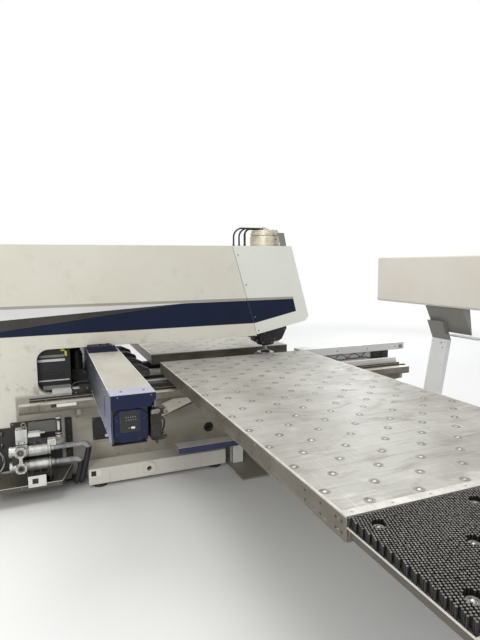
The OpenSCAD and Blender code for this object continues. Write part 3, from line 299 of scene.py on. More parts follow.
def casting(name, colour, shade, rough=0.5, metal=0.55, grit=0.35, grime_and_shade=0.5):
    """Sand-cast or blasted metal, dusty and oily, with painted shade darkening its corners."""
    g = Graph(name)
    tone = g.blend(g.noise(14, 6, rough=0.62).step(0.34, 0.7), colour, shade)
    # painted shade: corners darkened by ambient occlusion, mixed with oily patches
    dirt_and_shade_mask = g.shade_in_corners(0.035).step(0.2, 0.85) * (0.45 + g.noise(22, 5))
    dirt_and_shade_mask = (dirt_and_shade_mask + g.noise(9, 5).step(0.55, 0.75) * 0.35) * grime_and_shade
    tone = g.blend(dirt_and_shade_mask.least(0.9), tone, (42, 37, 30))
    tone = g.blend(g.edge(0.002) * 0.45, tone, (232, 231, 226))
    grain = g.noise(520, 3) * 0.7 + g.cells(320) * 0.3
    return g.surface(tone, rough + dirt_and_shade_mask * 0.3, metal=metal, normal=g.bump(grain, grit, 0.0006))


def black_coat(name, colour=(34, 34, 36), grime_and_shade=0.5):
    """Black enamel or plastic with dust on what looks up."""
    g = Graph(name)
    dark = [c * 0.55 for c in srgb(*colour)[:3]] + [1.0]
    tone = g.blend(g.noise(8, 5).step(0.35, 0.7), colour, dark)
    dust = g.up().step(0.3, 0.95) * g.noise(26, 5, rough=0.7).step(0.4, 0.7)
    tone = g.blend(dust * 0.35 * grime_and_shade, tone, (128, 120, 106))
    tone = g.blend(g.edge(0.002) * g.noise(40, 3).step(0.4, 0.6) * 0.5, tone, (112, 110, 106))
    return g.surface(tone, 0.44 + g.noise(12, 4) * 0.16, normal=g.bump(g.noise(360, 3), 0.18, 0.0005))


def moulded(name, colour, shade, rough=0.34, coat=0.0, grain=0.05):
    """Moulded plastic or rubber."""
    g = Graph(name)
    tone = g.blend(g.noise(20, 5).step(0.35, 0.7), colour, shade)
    # painted shade: darker in the small crevices, from ambient occlusion
    tone = g.blend(g.shade_in_corners(0.01).step(0.3, 0.9) * 0.4, tone, (26, 22, 20))
    matt = rough + g.noise(30, 4) * 0.12
    return g.surface(tone, matt, coat=coat, normal=g.bump(g.noise(600, 2), grain, 0.0004))


def bristle_finish():
    """Black tufts with streaked sides, and tips that the sheets have worn grey."""
    g = Graph("bristle_nylon")
    tip = g.along(Z).step(1.0282, 1.0296)
    patch = g.noise(4.5, 5, rough=0.6).step(0.34, 0.66)
    single = g.noise(95, 2).step(0.36, 0.64)
    streak = g.noise(300, 3, stretch=(1, 1, 0.06), rough=0.6).step(0.5, 0.78)
    side = g.blend(streak * 0.7, (17, 17, 17), (62, 60, 56))
    worn = g.blend(single * 0.7 + patch * 0.3, (70, 69, 65), (128, 126, 119))
    strands = g.noise(900, 2, stretch=(1, 1, 0.15))
    return g.surface(g.blend(tip, side, worn), 0.58, normal=g.bump(strands, 0.6, 0.0008))


def beam_paint():
    """Cream paint of the guide beams with painted light: scuffed pale tops, shaded darker brown sides with a
    painted shadow low down, oily drips, and painted shade in the corners.
    """
    g = Graph("guide_beam_paint")
    # painted light: faces that look up take a pale lit tone, the sides a darker shaded tone
    top = g.up().step(0.4, 0.9)
    clouds = g.noise(2.6, 6, stretch=(1, 0.5, 1.8), rough=0.62).step(0.36, 0.68)
    side = g.blend(clouds, (150, 145, 132), (98, 92, 80))
    scuff = g.noise(5, 6, stretch=(1, 0.3, 1), rough=0.66).step(0.4, 0.7)
    scuffed_lit_top_tone = g.blend(scuff, (208, 204, 193), (158, 152, 138))
    # painted shadow: the lower part of the sides is painted dark
    side = g.blend((1 - g.along(Z).step(0.775, 0.80)) * 0.7, side, (62, 57, 48))
    tone = g.blend(top, side, scuffed_lit_top_tone)
    drip = g.noise(8, 5, stretch=(2, 2.4, 0.25), rough=0.6).step(0.52, 0.74)
    tone = g.blend(drip * 0.45, tone, (64, 57, 46))
    # painted shade in the corners, from ambient occlusion
    tone = g.blend(g.shade_in_corners(0.05).step(0.2, 0.9) * 0.6, tone, (48, 42, 34))
    tone = g.blend(g.edge(0.005) * g.noise(18, 4).step(0.36, 0.56) * 0.8, tone, (206, 202, 190))
    return g.surface(tone, 0.42 + drip * 0.16, normal=g.bump(g.noise(200, 3), 0.14, 0.0006))


def lid_paint():
    """Warm grey lid of the cross rail, scuffed along its length."""
    g = Graph("rail_lid_paint")
    tone = g.blend(g.noise(2.0, 5).step(0.35, 0.7), (190, 187, 177), (172, 168, 156))
    drag = g.noise(20, 6, stretch=(0.18, 2, 1), rough=0.66).step(0.54, 0.74)
    tone = g.blend(drag * 0.3, tone, (150, 144, 130))
    tone = g.blend(g.noise(11, 5, rough=0.7).step(0.6, 0.76) * 0.3, tone, (118, 108, 90))
    return g.surface(tone, 0.34 + drag * 0.16, normal=g.bump(g.noise(300, 2), 0.06, 0.0005))


def rail_side_paint():
    """Blue-grey side sheet of the cross rail: painted shadow darkens it near the frame, where it is also oily,
    and it is cleaner and paler at its end.
    """
    g = Graph("rail_blue_paint")
    out = g.along(X).size().step(0.85, 1.95)
    # painted shadow: the sheet is painted dark near the frame, paler towards its end
    tone = g.blend(out, (50, 53, 58), (116, 122, 142))
    clouds = g.noise(3.2, 5, stretch=(0.5, 1, 1.6)).step(0.36, 0.7)
    tone = g.blend(clouds * 0.45, tone, (70, 74, 86))
    foot = (1 - g.along(Z).step(0.92, 1.06)) * out
    tone = g.blend(foot * 0.55, tone, (176, 180, 198))
    # oily patches, denser near the frame
    grease_and_shade_mask = g.noise(13, 6, rough=0.7).step(0.54, 0.72) * (1 - out * 0.7)
    tone = g.blend(grease_and_shade_mask * 0.5, tone, (30, 28, 26))
    tone = g.blend(g.edge(0.004) * 0.9, tone, (196, 198, 206))
    matt = 0.40 + grease_and_shade_mask * 0.2
    return g.surface(tone, matt, normal=g.bump(g.noise(260, 3), 0.08, 0.0005), specular=0.35)


CREAM = frame_paint()
HEAD = paint("head_white_paint", (232, 233, 225), (222, 223, 213), grime_and_shade=0.22, rough=0.38)
NAVY_FILM = film("navy_film", (17, 29, 54), (12, 22, 43), 0.5, 0.2)
WEDGE_FILM = film("dark_grey_film", (66, 64, 59), (40, 39, 36), 0.5, 0.25)
PALE_FILM = film("pale_film", (222, 222, 222), (208, 207, 203))
LINE_FILM = film("grey_line_film", (166, 163, 152), (150, 146, 135))
PLATE = plate_steel()
SKIRT = skirt_paint()
LID = lid_paint()
RAIL_BLUE = rail_side_paint()
RAIL_RIM = paint("rail_rim_paint", (170, 173, 186), (144, 147, 162), grime_and_shade=0.45, rough=0.36)
RAIL_NAVY = paint("rail_navy_paint", (24, 33, 64), (17, 25, 50), grime_and_shade=0.4, wear=0.6,
                  bare=(134, 142, 160), rough=0.46, specular=0.25)
CAP_NAVY = paint("cap_navy_paint", (18, 26, 48), (12, 19, 37), grime_and_shade=0.4, wear=0.5,
                 bare=(116, 124, 140), rough=0.5, specular=0.25)
BEAM_PAINT = beam_paint()
BASE_PAINT = paint("base_beam_paint", (222, 219, 210), (192, 187, 175), grime_and_shade=0.65, runs=0.9, wear=0.6)
WHITE_PAINT = paint("white_powder_coat", (214, 215, 213), (200, 200, 196), grime_and_shade=0.3, rough=0.4)
CONSOLE_PAINT = paint("console_paint", (222, 217, 207), (212, 202, 188), grime_and_shade=0.3, rough=0.36,
                      soil_and_shade_tone=(130, 122, 108))
GREY_PAINT = paint("grey_powder_coat", (132, 131, 126), (108, 107, 102), grime_and_shade=0.45, wear=0.5,
                   bare=(206, 205, 198))
BRACKET_PAINT = paint("bracket_paint", (150, 146, 134), (120, 115, 102), grime_and_shade=0.9, wear=0.4)
TOE_WHITE = paint("toe_bar_white", (240, 239, 228), (226, 223, 208), grime_and_shade=0.15, wear=0.3)
CHUTE_PAINT = paint("chute_paint", (240, 231, 216), (222, 211, 194), grime_and_shade=0.3, wear=0.5)
TOE_BLUE = paint("toe_bar_blue", (62, 70, 108), (46, 53, 84), grime_and_shade=0.6, wear=0.6)
STEEL = steel("machined_steel", (198, 198, 196), (160, 159, 156), grease_and_shade_amount=0.25)
GREASY = steel("greasy_steel", (62, 57, 49), (38, 34, 28), rough=0.42, metal=0.5, grease_and_shade_amount=0.75)
BOLT_STEEL = steel("bolt_steel", (150, 147, 140), (110, 106, 98), grease_and_shade_amount=0.3, scale=3.0)
DARK_CAST = casting("dark_casting", (66, 66, 66), (44, 44, 44), metal=0.4, grime_and_shade=0.6)
ALUMINIUM = casting("cast_aluminium", (208, 208, 204), (172, 172, 168), rough=0.38, metal=0.7, grime_and_shade=0.75)
DRIVE_METAL = casting("drive_casting", (206, 199, 180), (182, 174, 152), rough=0.34, metal=0.35,
                      grit=0.12, grime_and_shade=0.35)
BLACK = black_coat("black_enamel")
BLACK_DUSTY = black_coat("dusty_black_enamel", (46, 45, 43), grime_and_shade=1.0)
RUBBER = moulded("black_rubber", (30, 30, 31), (18, 18, 19), rough=0.5, grain=0.2)
RIBBED = moulded("ribbed_hose_plastic", (168, 170, 171), (128, 130, 131), rough=0.38)
RED = moulded("red_plastic", (196, 34, 28), (160, 22, 20), rough=0.25, coat=0.4)
GREEN = moulded("green_plastic", (42, 128, 62), (28, 98, 46), rough=0.25, coat=0.4)
YELLOW = moulded("yellow_plastic", (222, 220, 80), (200, 198, 60), rough=0.4)
OLIVE = moulded("olive_strip", (140, 136, 70), (116, 112, 56), rough=0.45)
RING_STEEL = steel("ball_ring_steel", (140, 137, 129), (108, 104, 96), metal=0.5, grease_and_shade_amount=0.35, scale=3.0)
TRAY_PAINT = paint("drip_tray_paint", (88, 84, 76), (62, 58, 51), grime_and_shade=0.8, wear=0.9, bare=(170, 166, 154))
GLASS = moulded("screen_glass", (24, 30, 36), (14, 18, 24), rough=0.1, coat=0.6, grain=0.0)
LABEL = film("blank_label", (232, 231, 226), (214, 212, 204), 0.42)
BRISTLE = bristle_finish()
RAIL_PALE = paint("pale_rail_paint", (208, 205, 196), (178, 174, 163), grime_and_shade=0.6, wear=0.6)
STRIP_STEEL = steel("end_strip_steel", (206, 204, 197), (176, 173, 165), rough=0.42, metal=0.25,
                    grease_and_shade_amount=0.15, lines=(4, 0.08, 4))


# ------------------------------------------------------------------ mesh making
def around(radius, turns, centre=(0, 0)):
    """Points on a circle in a plane, at the given turns in degrees."""
    return [(centre[0] + radius * math.cos(math.radians(t)), centre[1] + radius * math.sin(math.radians(t)))
            for t in turns]


def arc(centre, radius, start, end, count):
    """Points on an arc in a plane, angles in degrees."""
    return around(radius, [start + (end - start) * i / count for i in range(count + 1)], centre)


def round_box(low, high, radius, count=5):
    """Outline of a rectangle with round corners."""
    (a0, b0), (a1, b1) = low, high
    r = radius
    return (arc((a1 - r, b1 - r), r, 0, 90, count) + arc((a0 + r, b1 - r), r, 90, 180, count)
            + arc((a0 + r, b0 + r), r, 180, 270, count) + arc((a1 - r, b0 + r), r, 270, 360, count))


def rounded(points, bend, steps=7):
    """A path through the points with each corner turned on a radius."""
    path = [Vector(points[0])]
    for before, corner, after in zip(points, points[1:-1], points[2:]):
        corner = Vector(corner)
        back, on = Vector(before) - corner, Vector(after) - corner
        half = back.angle(on) / 2
        reach = min(bend / math.tan(half), back.length * 0.49, on.length * 0.49)
        start, end = corner + back.normalized() * reach, corner + on.normalized() * reach
        for i in range(steps + 1):
            t = i / steps
            path.append(start * (1 - t) ** 2 + corner * 2 * t * (1 - t) + end * t * t)
    path.append(Vector(points[-1]))
    return path


def mesh_object(name, data, *finishes):
    for finish in finishes:
        data.materials.append(finish)
    made = bpy.data.objects.new(name, data)
    bpy.context.scene.collection.objects.link(made)
    return made


def soften(made, width):
    """Narrow bevels, and flats that stay flat."""
    bevel = made.modifiers.new("soft_edges", "BEVEL")
    bevel.width, bevel.segments = width * MM, 2
    bevel.limit_method, bevel.angle_limit = "ANGLE", math.radians(38)
    bevel.use_clamp_overlap = True
    normals = made.modifiers.new("flat_faces", "WEIGHTED_NORMAL")
    normals.keep_sharp = True


class Piece:
    """A mesh that is put together in millimetres and then rides on a body."""

    def __init__(self, name, body, *finishes):
        self.name, self.body, self.finishes = name, body, finishes
        self.mesh = bmesh.new()

    def _add(self, verts, loops, finish):
        made = [self.mesh.verts.new(v) for v in verts]
        for loop in loops:
            face = self.mesh.faces.new([made[i] for i in loop])
            face.material_index = finish
        return self

    def block(self, low, high, finish=0, turn=None, about=None):
        """A block between two corners, turned by a matrix about a point if one is given."""
        (x0, y0, z0), (x1, y1, z1) = low, high
        verts = [Vector(v) for v in ((x0, y0, z0), (x1, y0, z0), (x1, y1, z0), (x0, y1, z0),
                                     (x0, y0, z1), (x1, y0, z1), (x1, y1, z1), (x0, y1, z1))]
        if turn:
            verts = [about + turn @ (v - about) for v in verts]
        loops = ((0, 3, 2, 1), (4, 5, 6, 7), (0, 1, 5, 4), (1, 2, 6, 5), (2, 3, 7, 6), (3, 0, 4, 7))
        return self._add(verts, loops, finish)

    def run(self, outline, low, high, axis=X, finish=0, far=None):
        """An outline in the plane across the axis, run from low to high, where it may end in another."""
        n = len(outline)
        verts = []
        for place, shape in ((low, outline), (high, far or outline)):
            for a, b in shape:
                verts.append(((place, a, b), (a, place, b), (a, b, place))[axis])
        loops = [tuple(range(n)), tuple(range(2 * n - 1, n - 1, -1))]
        loops += [(i, (i + 1) % n, (i + 1) % n + n, i + n) for i in range(n)]
        return self._add(verts, loops, finish)

    def turned(self, profile, at, axis=Z, sides=32, finish=0, phase=0.0):
        """A profile of (radius, distance along the axis) turned round the axis through a point."""
        rings, verts = [], []
        u, v = ((Y, Z), (Z, X), (X, Y))[axis]
        for radius, along in profile:
            ring = []
            for i in range(1 if radius == 0 else sides):
                turn = 2 * math.pi * i / sides + phase
                point = [0, 0, 0]
                point[axis] = at[axis] + along
                point[u] = at[u] + radius * math.cos(turn)
                point[v] = at[v] + radius * math.sin(turn)
                ring.append(len(verts))
                verts.append(point)
            rings.append(ring)
        loops = []
        for a, b in zip(rings, rings[1:]):
            for i in range(sides):
                quad = [a[i % len(a)], a[(i + 1) % len(a)], b[(i + 1) % len(b)], b[i % len(b)]]
                face = list(dict.fromkeys(quad))
                if len(face) > 2:
                    loops.append(face)
        return self._add(verts, loops, finish)

    def rod(self, at, length, radius, axis=Z, finish=0, sides=24, edge=1.0):
        """A round bar from a point along an axis, with small chamfers."""
        e = min(edge, radius * 0.4, abs(length) * 0.4) * (1 if length > 0 else -1)
        profile = [(0, 0), (radius - abs(e), 0), (radius, e), (radius, length - e),
                   (radius - abs(e), length), (0, length)]
        return self.turned(profile, at, axis, sides, finish)

    def ring(self, at, length, inner, outer, axis=Z, finish=0, sides=32, edge=1.0):
        """A sleeve from a point along an axis, with small chamfers."""
        e = edge if length > 0 else -edge
        profile = [(inner, 0), (outer - edge, 0), (outer, e), (outer, length - e), (outer - edge, length),
                   (inner + edge, length), (inner, length - e), (inner, 0)]
        return self.turned(profile, at, axis, sides, finish)

    def bolt(self, at, axis=Z, side=1, size=8, finish=0, washer=True):
        """A hexagon head on a washer. side says which way it stands out along the axis."""
        if washer:
            self.rod(at, side * size * 0.18, size * 1.15, axis, finish, 16, 0.3)
        start = list(at)
        start[axis] += side * size * 0.18
        rim, top = side * size * 0.55, side * size * 0.7
        profile = [(0, 0), (size, 0), (size, rim), (size * 0.82, top), (0, top)]
        return self.turned(profile, start, axis, 6, finish, random.random())

    def socket_screw(self, at, axis=Z, side=1, size=8, finish=0, hole=0):
        """A cap screw with a sunk hexagon."""
        top = side * size * 0.9
        head = [(0, 0), (size, 0), (size, top * 0.85), (size * 0.88, top), (size * 0.52, top), (0, top * 0.98)]
        self.turned(head, at, axis, 16, finish)
        start = list(at)
        start[axis] += top
        sunk = [(size * 0.5, side * 0.3), (size * 0.46, side * 0.3),
                (size * 0.4, -top * 0.55), (0, -top * 0.55)]
        return self.turned(sunk, start, axis, 6, hole)

    def pipe(self, path, radius, sides=12, finish=0, rib=0.0, pitch=8.0):
        """A round tube along a path. With a rib depth, its radius swells once in every pitch."""
        path = [Vector(p) for p in path]
        if rib:
            fine = [path[0]]
            for a, b in zip(path, path[1:]):
                count = max(1, round((b - a).length / (pitch / 4)))
                fine += [a.lerp(b, (i + 1) / count) for i in range(count)]
            path = fine
        side = (path[1] - path[0]).normalized().orthogonal().normalized()
        verts, loops, n, gone = [], [], len(path), 0.0
        for i, point in enumerate(path):
            ahead = (path[min(i + 1, n - 1)] - path[max(i - 1, 0)]).normalized()
            side = (side - ahead * side.dot(ahead)).normalized()
            across = ahead.cross(side)
            if i:
                gone += (point - path[i - 1]).length
            r = radius + rib * math.cos(2 * math.pi * gone / pitch)
            for k in range(sides):
                turn = 2 * math.pi * k / sides
                verts.append(point + side * (r * math.cos(turn)) + across * (r * math.sin(turn)))
        for i in range(n - 1):
            for k in range(sides):
                a, b = i * sides + k, i * sides + (k + 1) % sides
                loops.append((a, b, b + sides, a + sides))
        loops += [tuple(range(sides - 1, -1, -1)), tuple(range((n - 1) * sides, n * sides))]
        return self._add(verts, loops, finish)

    def both_sides(self):
        """The same pieces again, mirrored across the machine's middle."""
        mesh = self.mesh
        copied = bmesh.ops.duplicate(mesh, geom=mesh.verts[:] + mesh.edges[:] + mesh.faces[:])
        for made in copied["geom"]:
            if isinstance(made, bmesh.types.BMVert):
                made.co.x = -made.co.x
        return self

    def done(self, stands_for=(), edge=0.0):
        """Makes the object. edge is the width of its softened edges."""
        bmesh.ops.scale(self.mesh, vec=(MM, MM, MM), verts=self.mesh.verts)
        bmesh.ops.recalc_face_normals(self.mesh, faces=self.mesh.faces)
        for face in self.mesh.faces:
            face.smooth = True
        for e in self.mesh.edges:
            e.smooth = len(e.link_faces) == 2 and e.calc_face_angle(0) < math.radians(32)
        data = bpy.data.meshes.new(self.name)
        self.mesh.to_mesh(data)
        self.mesh.free()
        made = mesh_object(self.name, data, *self.finishes)
        if edge:
            soften(made, edge)
        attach(made, self.body)
        if stands_for:
            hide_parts(*stands_for)


def dress(node, finish, edge=0.0):
    """A CAD node that keeps its shape gets its finish, and softened edges."""
    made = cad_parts[node]
    for place in made.material_slots:
        place.material = finish
    if not made.material_slots:
        made.data.materials.append(finish)
    if edge:
        made.modifiers.new("joined_faces", "WELD").merge_threshold = 0.00002
        flat = made.modifiers.new("whole_faces", "DECIMATE")
        flat.decimate_type, flat.angle_limit = "DISSOLVE", math.radians(0.4)
        soften(made, edge)


# ------------------------------------------------------------------ finishes of the CAD nodes that stay
for node, finish, edge in (
    ("c_frame", CREAM, 4), ("head_cover", HEAD, 2), ("stripe_band", NAVY_FILM, 0),
    ("stripe_wedge", WEDGE_FILM, 0), ("stripe_pale", PALE_FILM, 0), ("stripe_line", LINE_FILM, 0),
    ("head_body", BLACK, 2.5), ("ram", STEEL, 1), ("punch", STEEL, 1), ("die_holder", DARK_CAST, 1.5),
    ("die_ring", STEEL, 1), ("die", GREASY, 0.6), ("centre_bar", WHITE_PAINT, 2),
    ("bar_posts", BLACK_DUSTY, 2), ("valve_panel", WHITE_PAINT, 1.5), ("guide_beams", BEAM_PAINT, 3),
    ("guide_rails", GREASY, 1.5), ("cable_ducts", WHITE_PAINT, 1.2), ("drive_rack", GREASY, 0),
    ("drive_motor", BLACK_DUSTY, 3), ("guide_brackets", BRACKET_PAINT, 2), ("base_beams", BASE_PAINT, 3),
    ("foot_pads", DARK_CAST, 2), ("anchor_plates", BRACKET_PAINT, 1.5), ("floor_duct", GREY_PAINT, 1),
    ("drip_tray", TRAY_PAINT, 1), ("cross_rail", GREASY, 2), ("rail_sides", RAIL_BLUE, 1.2),
    ("rail_caps", CAP_NAVY, 3), ("saddle", DARK_CAST, 2), ("table_frames", SKIRT, 1.2),
    ("table_panels", PLATE, 0.8), ("clamp_carriage", DARK_CAST, 1.5), ("clamp_jaws", GREASY, 1),
    ("floor_tracks", GREASY, 2), ("console_arm", GREY_PAINT, 2), ("switch_cabinet", CREAM, 3),
    ("cabinet_door", CREAM, 3),
):
    dress(node, finish, edge)


# ------------------------------------------------------------------ head and drive
def seam_y(z, back):
    """A place on the slanted joint of the head cover, set back from it."""
    return 222 + (485 - 222) * (z - 1237) / (ROOF - 1237) - back


screws = Piece("joint_screws", "frame", BOLT_STEEL, BLACK)
for z in (1290, 1430, 1760, 2060):
    for side in (-1, 1):
        screws.socket_screw((side * (FRAME_HALF + 0.9), seam_y(z, 34), z), X, side, 6.5, 0, 1)
screws.done(["head_screws"])

AXIS = (0, 0, 0)
drive = Piece("punch_drive", "frame", DRIVE_METAL, BLACK, BOLT_STEEL)
drive.turned([(0, 2131), (163, 2131), (163, 2158), (160, 2161), (160, 2164), (163, 2167), (163, 2196),
              (161.5, 2198), (161.5, 2201), (163, 2203), (163, 2256), (160, 2259), (141, 2259), (141, 2267),
              (157, 2267), (157, 2297), (154, DRIVE_TOP), (0, DRIVE_TOP)], AXIS, Z, 72)
drive.turned([(0, 1822), (86, 1822), (87.8, 1826), (87.8, 2131), (0, 2131)], AXIS, Z, 48)
for x, y in around(149, range(9, 369, 36)):
    drive.socket_screw((x, y, 2259.5), Z, 1, 5, 2, 1)
for x, y in around(1, (-160, -70, 35)):
    drive.pipe([(158 * x, 158 * y, 2226), (163.6 * x, 163.6 * y, 2226)], 9, 16, 1)
drive.done(["drive_housing"])

top = Piece("drive_top_ring", "frame", DRIVE_METAL, BOLT_STEEL, BLACK)
RING_TOP = DRIVE_TOP + 22
top.turned([(0, DRIVE_TOP), (149, DRIVE_TOP), (149, DRIVE_TOP + 7), (146, DRIVE_TOP + 9), (146, DRIVE_TOP + 20),
            (144, RING_TOP), (96, RING_TOP), (94, DRIVE_TOP + 18), (0, DRIVE_TOP + 18)], AXIS, Z, 72)
for x, y in around(128, [30 * k + 15 for k in range(12) if k not in (2, 3)]):
    top.socket_screw((x, y, RING_TOP - 0.2), Z, 1, 6.5, 1, 2)
top.done(["drive_ring"])

# each hose: its X, the Y where it enters the roof, and its bend
HOSES = ((-66, 388, 95), (-28, 312, 90), (10, 236, 70), (48, 214, 60))
HOSE_Z = DRIVE_TOP + 38
fittings = Piece("hose_fittings", "frame", ALUMINIUM, BOLT_STEEL, RUBBER)
for x, end, bend in HOSES:
    fittings.block((x - 15, 26, RING_TOP), (x + 15, 56, RING_TOP + 30), 0)
    fittings.turned([(0, 0), (13, 0), (13, 9), (0, 9)], (x, 55, HOSE_Z), Y, 6, 1)
    fittings.rod((x, 62, HOSE_Z), 22, 10.5, Y, 1)
    fittings.socket_screw((x, 41, RING_TOP + 30), Z, 1, 4, 1, 2)
    gland = [(0, 0), (17, 0), (17, 5), (13, 6), (13, 18), (11.5, 22), (0, 22)]
    fittings.turned(gland, (x, end, ROOF), Z, 18, 2)
fittings.block((-80, -10, RING_TOP), (70, 26, RING_TOP + 18), 0)
fittings.done(["drive_fittings"], edge=1.5)

hoses = Piece("drive_hose_set", "frame", RUBBER)
for x, end, bend in HOSES:
    path = [(x, 60, HOSE_Z)] + [(x, y, z) for y, z in arc((end - bend, HOSE_Z - bend), bend, 90, 0, 14)]
    hoses.pipe(path + [(x, end, ROOF + 18)], 9, 14)
hoses.done(["drive_hoses"])

bracket = Piece("drive_side_bracket", "frame", GREY_PAINT, BOLT_STEEL)
bracket.block((-206, -150, ROOF), (-150, -82, ROOF + 5))
bracket.run([(-152, ROOF + 4), (-80, ROOF + 4), (-52, DRIVE_TOP - 12), (-122, DRIVE_TOP - 12)], -206, -201)
bracket.block((-206, -124, DRIVE_TOP - 16), (-168, -50, DRIVE_TOP - 12))
for y in (-134, -98):
    bracket.bolt((-176, y, ROOF + 5), Z, 1, 7, 1)
bracket.done(["drive_bracket"], edge=1)

head = Piece("head_fittings", "frame", BLACK, RED, BOLT_STEEL, RUBBER)
head.block((-104, 130, 1140), (-62, 166, 1176), 0)
head.turned([(0, 0), (9, 0), (11, 3), (11, 12), (8, 16), (0, 16)], (-83, 178, 1160), Z, 16, 1)
head.block((-96, 160, 1150), (-70, 186, 1162), 0)
head.rod((-104, 148, 1158), -12, 8, X, 2, 16)
head.run([(150, 1198), (236, 1199), (236, 1208), (150, 1212)], -108, 108, X, 0)
for y, z in ((-172, 1262), (-160, 1300), (60, 1180), (60, 1235),
             (150, 1230), (-60, 1160), (-60, 1300), (60, 1300)):
    for side in (-1, 1):
        head.socket_screw((112 * side, y, z), X, side, 6, 2, 0)
head.ring((-112, -60, 1210), -5, 14, 26, X, 0)
head.block((-118, -36, 1150), (-112, 74, 1200), 0)
head.pipe(rounded([(-108, 130, 1162), (-125, 118, 1200), (-118, 96, 1232), (-112, 90, 1260)], 20), 5, 10, 3)
head.done(edge=1)

adapter = Piece("turning_adapter", "tool_turn", BLACK, BOLT_STEEL, STEEL)
adapter.turned([(45.3, 1088), (58, 1088), (60, 1090), (60, 1093), (64, 1093), (66, 1090), (84, 1094),
                (94, 1100), (98, 1106), (96, 1108), (96, 1111), (98, 1113), (98, 1131), (95, 1134.6),
                (73.8, 1134.6), (73.8, 1329), (72.8, 1330), (45.3, 1330), (45.3, 1088)], AXIS, Z, 64)
for x, y in around(52, range(0, 360, 30)):
    adapter.socket_screw((x, y, 1088), Z, -1, 3.5, 1, 0)
for x, y in around(1, range(20, 380, 60)):
    adapter.pipe([(95 * x, 95 * y, 1121), (98.8 * x, 98.8 * y, 1121)], 4.5, 12, 2)
adapter.done(["tool_adapter"])

# ------------------------------------------------------------------ fixed bar in front of the head
bar = Piece("bar_fittings", "frame", BOLT_STEEL, GREY_PAINT, RUBBER, RED)
for y in (-1600, -1200, -800, -455):
    bar.bolt((-204, y, 986), X, -1, 7, 0)
bar.block((-216, -1690, 966), (-204, -1650, 1004), 1).bolt((-216, -1670, 985), X, -1, 6, 0)
for i, y in enumerate((-1145, -965, -785)):
    bar.rod((-150, y, 890), -16, 15, X, 1).rod((-166, y, 890), -5, 8, X, 0)
    for k in (-1, 1):
        route = [(-152, y + 18 * k, 880), (-166, y + 24 * k, 904),
                 (-150, y + 60 * k, 924), (-140, y + 90 * k, 938)]
        bar.pipe(rounded(route, 18), 3.2, 8, 3 if (i + k) % 3 == 0 else 2)
route = [(-140, -1290, 860), (-152, -1220, 880), (-146, -900, 868), (-152, -640, 884), (-140, -570, 872)]
bar.pipe(rounded(route, 60), 5, 10, 2)
bar.done()

# ------------------------------------------------------------------ lower arm, base and guards
low_side = Piece("side_fittings", "frame", BOLT_STEEL, BLACK, GREASY, CREAM)
for y, z in ((1655, 198), (1395, 204), (1179, 222)):
    low_side.bolt((FRAME_SIDE, y, z), X, -1, 8, 0)
port = (FRAME_SIDE, 761, 342)
low_side.ring(port, -6, 49, 61, X, 3).turned([(0, -1), (49, -1)], port, X, 32, 1)
low_side.rod((FRAME_SIDE - 1, 761, 330), -46, 17, X, 2).rod((FRAME_SIDE - 1, 739, 364), -30, 8, X, 1)
low_side.done()

beam_ends = Piece("beam_fittings", "frame", BOLT_STEEL, LABEL, GREASY, BLACK)
for y in range(-1300, 2400, 300):
    beam_ends.bolt((BEAM_SIDE, y, 808), X, -1, 6, 0)
beam_ends.block((BEAM_SIDE - 0.8, 2182, 811), (BEAM_SIDE, 2226, 837), 3)
beam_ends.block((BEAM_SIDE - 0.6, 2027, 811), (BEAM_SIDE, 2182, 837), 1)
for y in range(-1460, 2330, 120):
    beam_ends.socket_screw((-480, y, 836), Z, 1, 4.5, 3, 3)
beam_ends.both_sides()
beam_ends.done()

cover = Piece("guide_rail_covers", "frame", GREASY, BRACKET_PAINT, BOLT_STEEL)
cover.block((COVER_SIDE, -1380, 770), (COVER_SIDE + 9, 2390, 878), 0)
for z, high in ((860, 6), (842, 4)):
    cover.block((COVER_SIDE - 2, -1380, z), (COVER_SIDE, 2390, z + high), 1)
for y in range(-1340, 2380, 240):
    cover.bolt((COVER_SIDE, y, 853), X, -1, 4, 2)
cover.both_sides()
cover.done()

boss = Piece("lift_bosses", "frame", BASE_PAINT, BLACK, LABEL)
boss.ring((-500, 1410, 104), -13, 22.5, 58, X, 0, 40, 2).both_sides()
boss.block((-500.8, 1840, 100), (-500, 1935, 162), 2).block((-501.4, 1882, 109), (-500.8, 1924, 155), 1)
boss.done()

toe = Piece("toe_guard", "frame", TOE_BLUE, TOE_WHITE, BRACKET_PAINT, BOLT_STEEL)
toe.block((-622, 425, 238), (-482, 1160, 291.5), 0).block((-621, 426, 291.5), (-483, 1159, 293), 1)
toe.block((-621, 1160, 239), (-483, 1161.5, 292), 2)
toe.block((-500, 470, 16), (-494, 590, 288), 1)
for y in (470, 584):
    toe.block((-500, y, 16), (-440, y + 6, 236), 1)
for y in (508, 552):
    toe.bolt((-468, y, 16), Z, 1, 8, 3)
for y in (500, 560):
    toe.bolt((-500, y, 210), X, -1, 6, 3)
toe.done(["toe_bar"], edge=1.5)

chute = Piece("waste_chute", "frame", CHUTE_PAINT, BLACK_DUSTY, BOLT_STEEL)
chute.run([(1328, 539), (1328, 543), (766, 754), (760, 754), (760, 749), (765, 749)], -455, FRAME_SIDE)
chute.run([(1328, 539), (1261, 687), (1035, 766), (760, 766), (760, 749), (765, 749)], -455, -451)
chute.run([(1326, 536), (1326, 539), (770, 747), (770, 723)], -446, FRAME_SIDE, X, 1)
for y, z in ((1290, 580), (1100, 680), (900, 744)):
    chute.bolt((-455, y, z), X, -1, 5, 2)
chute.done(["chute_plate"], edge=0.6)

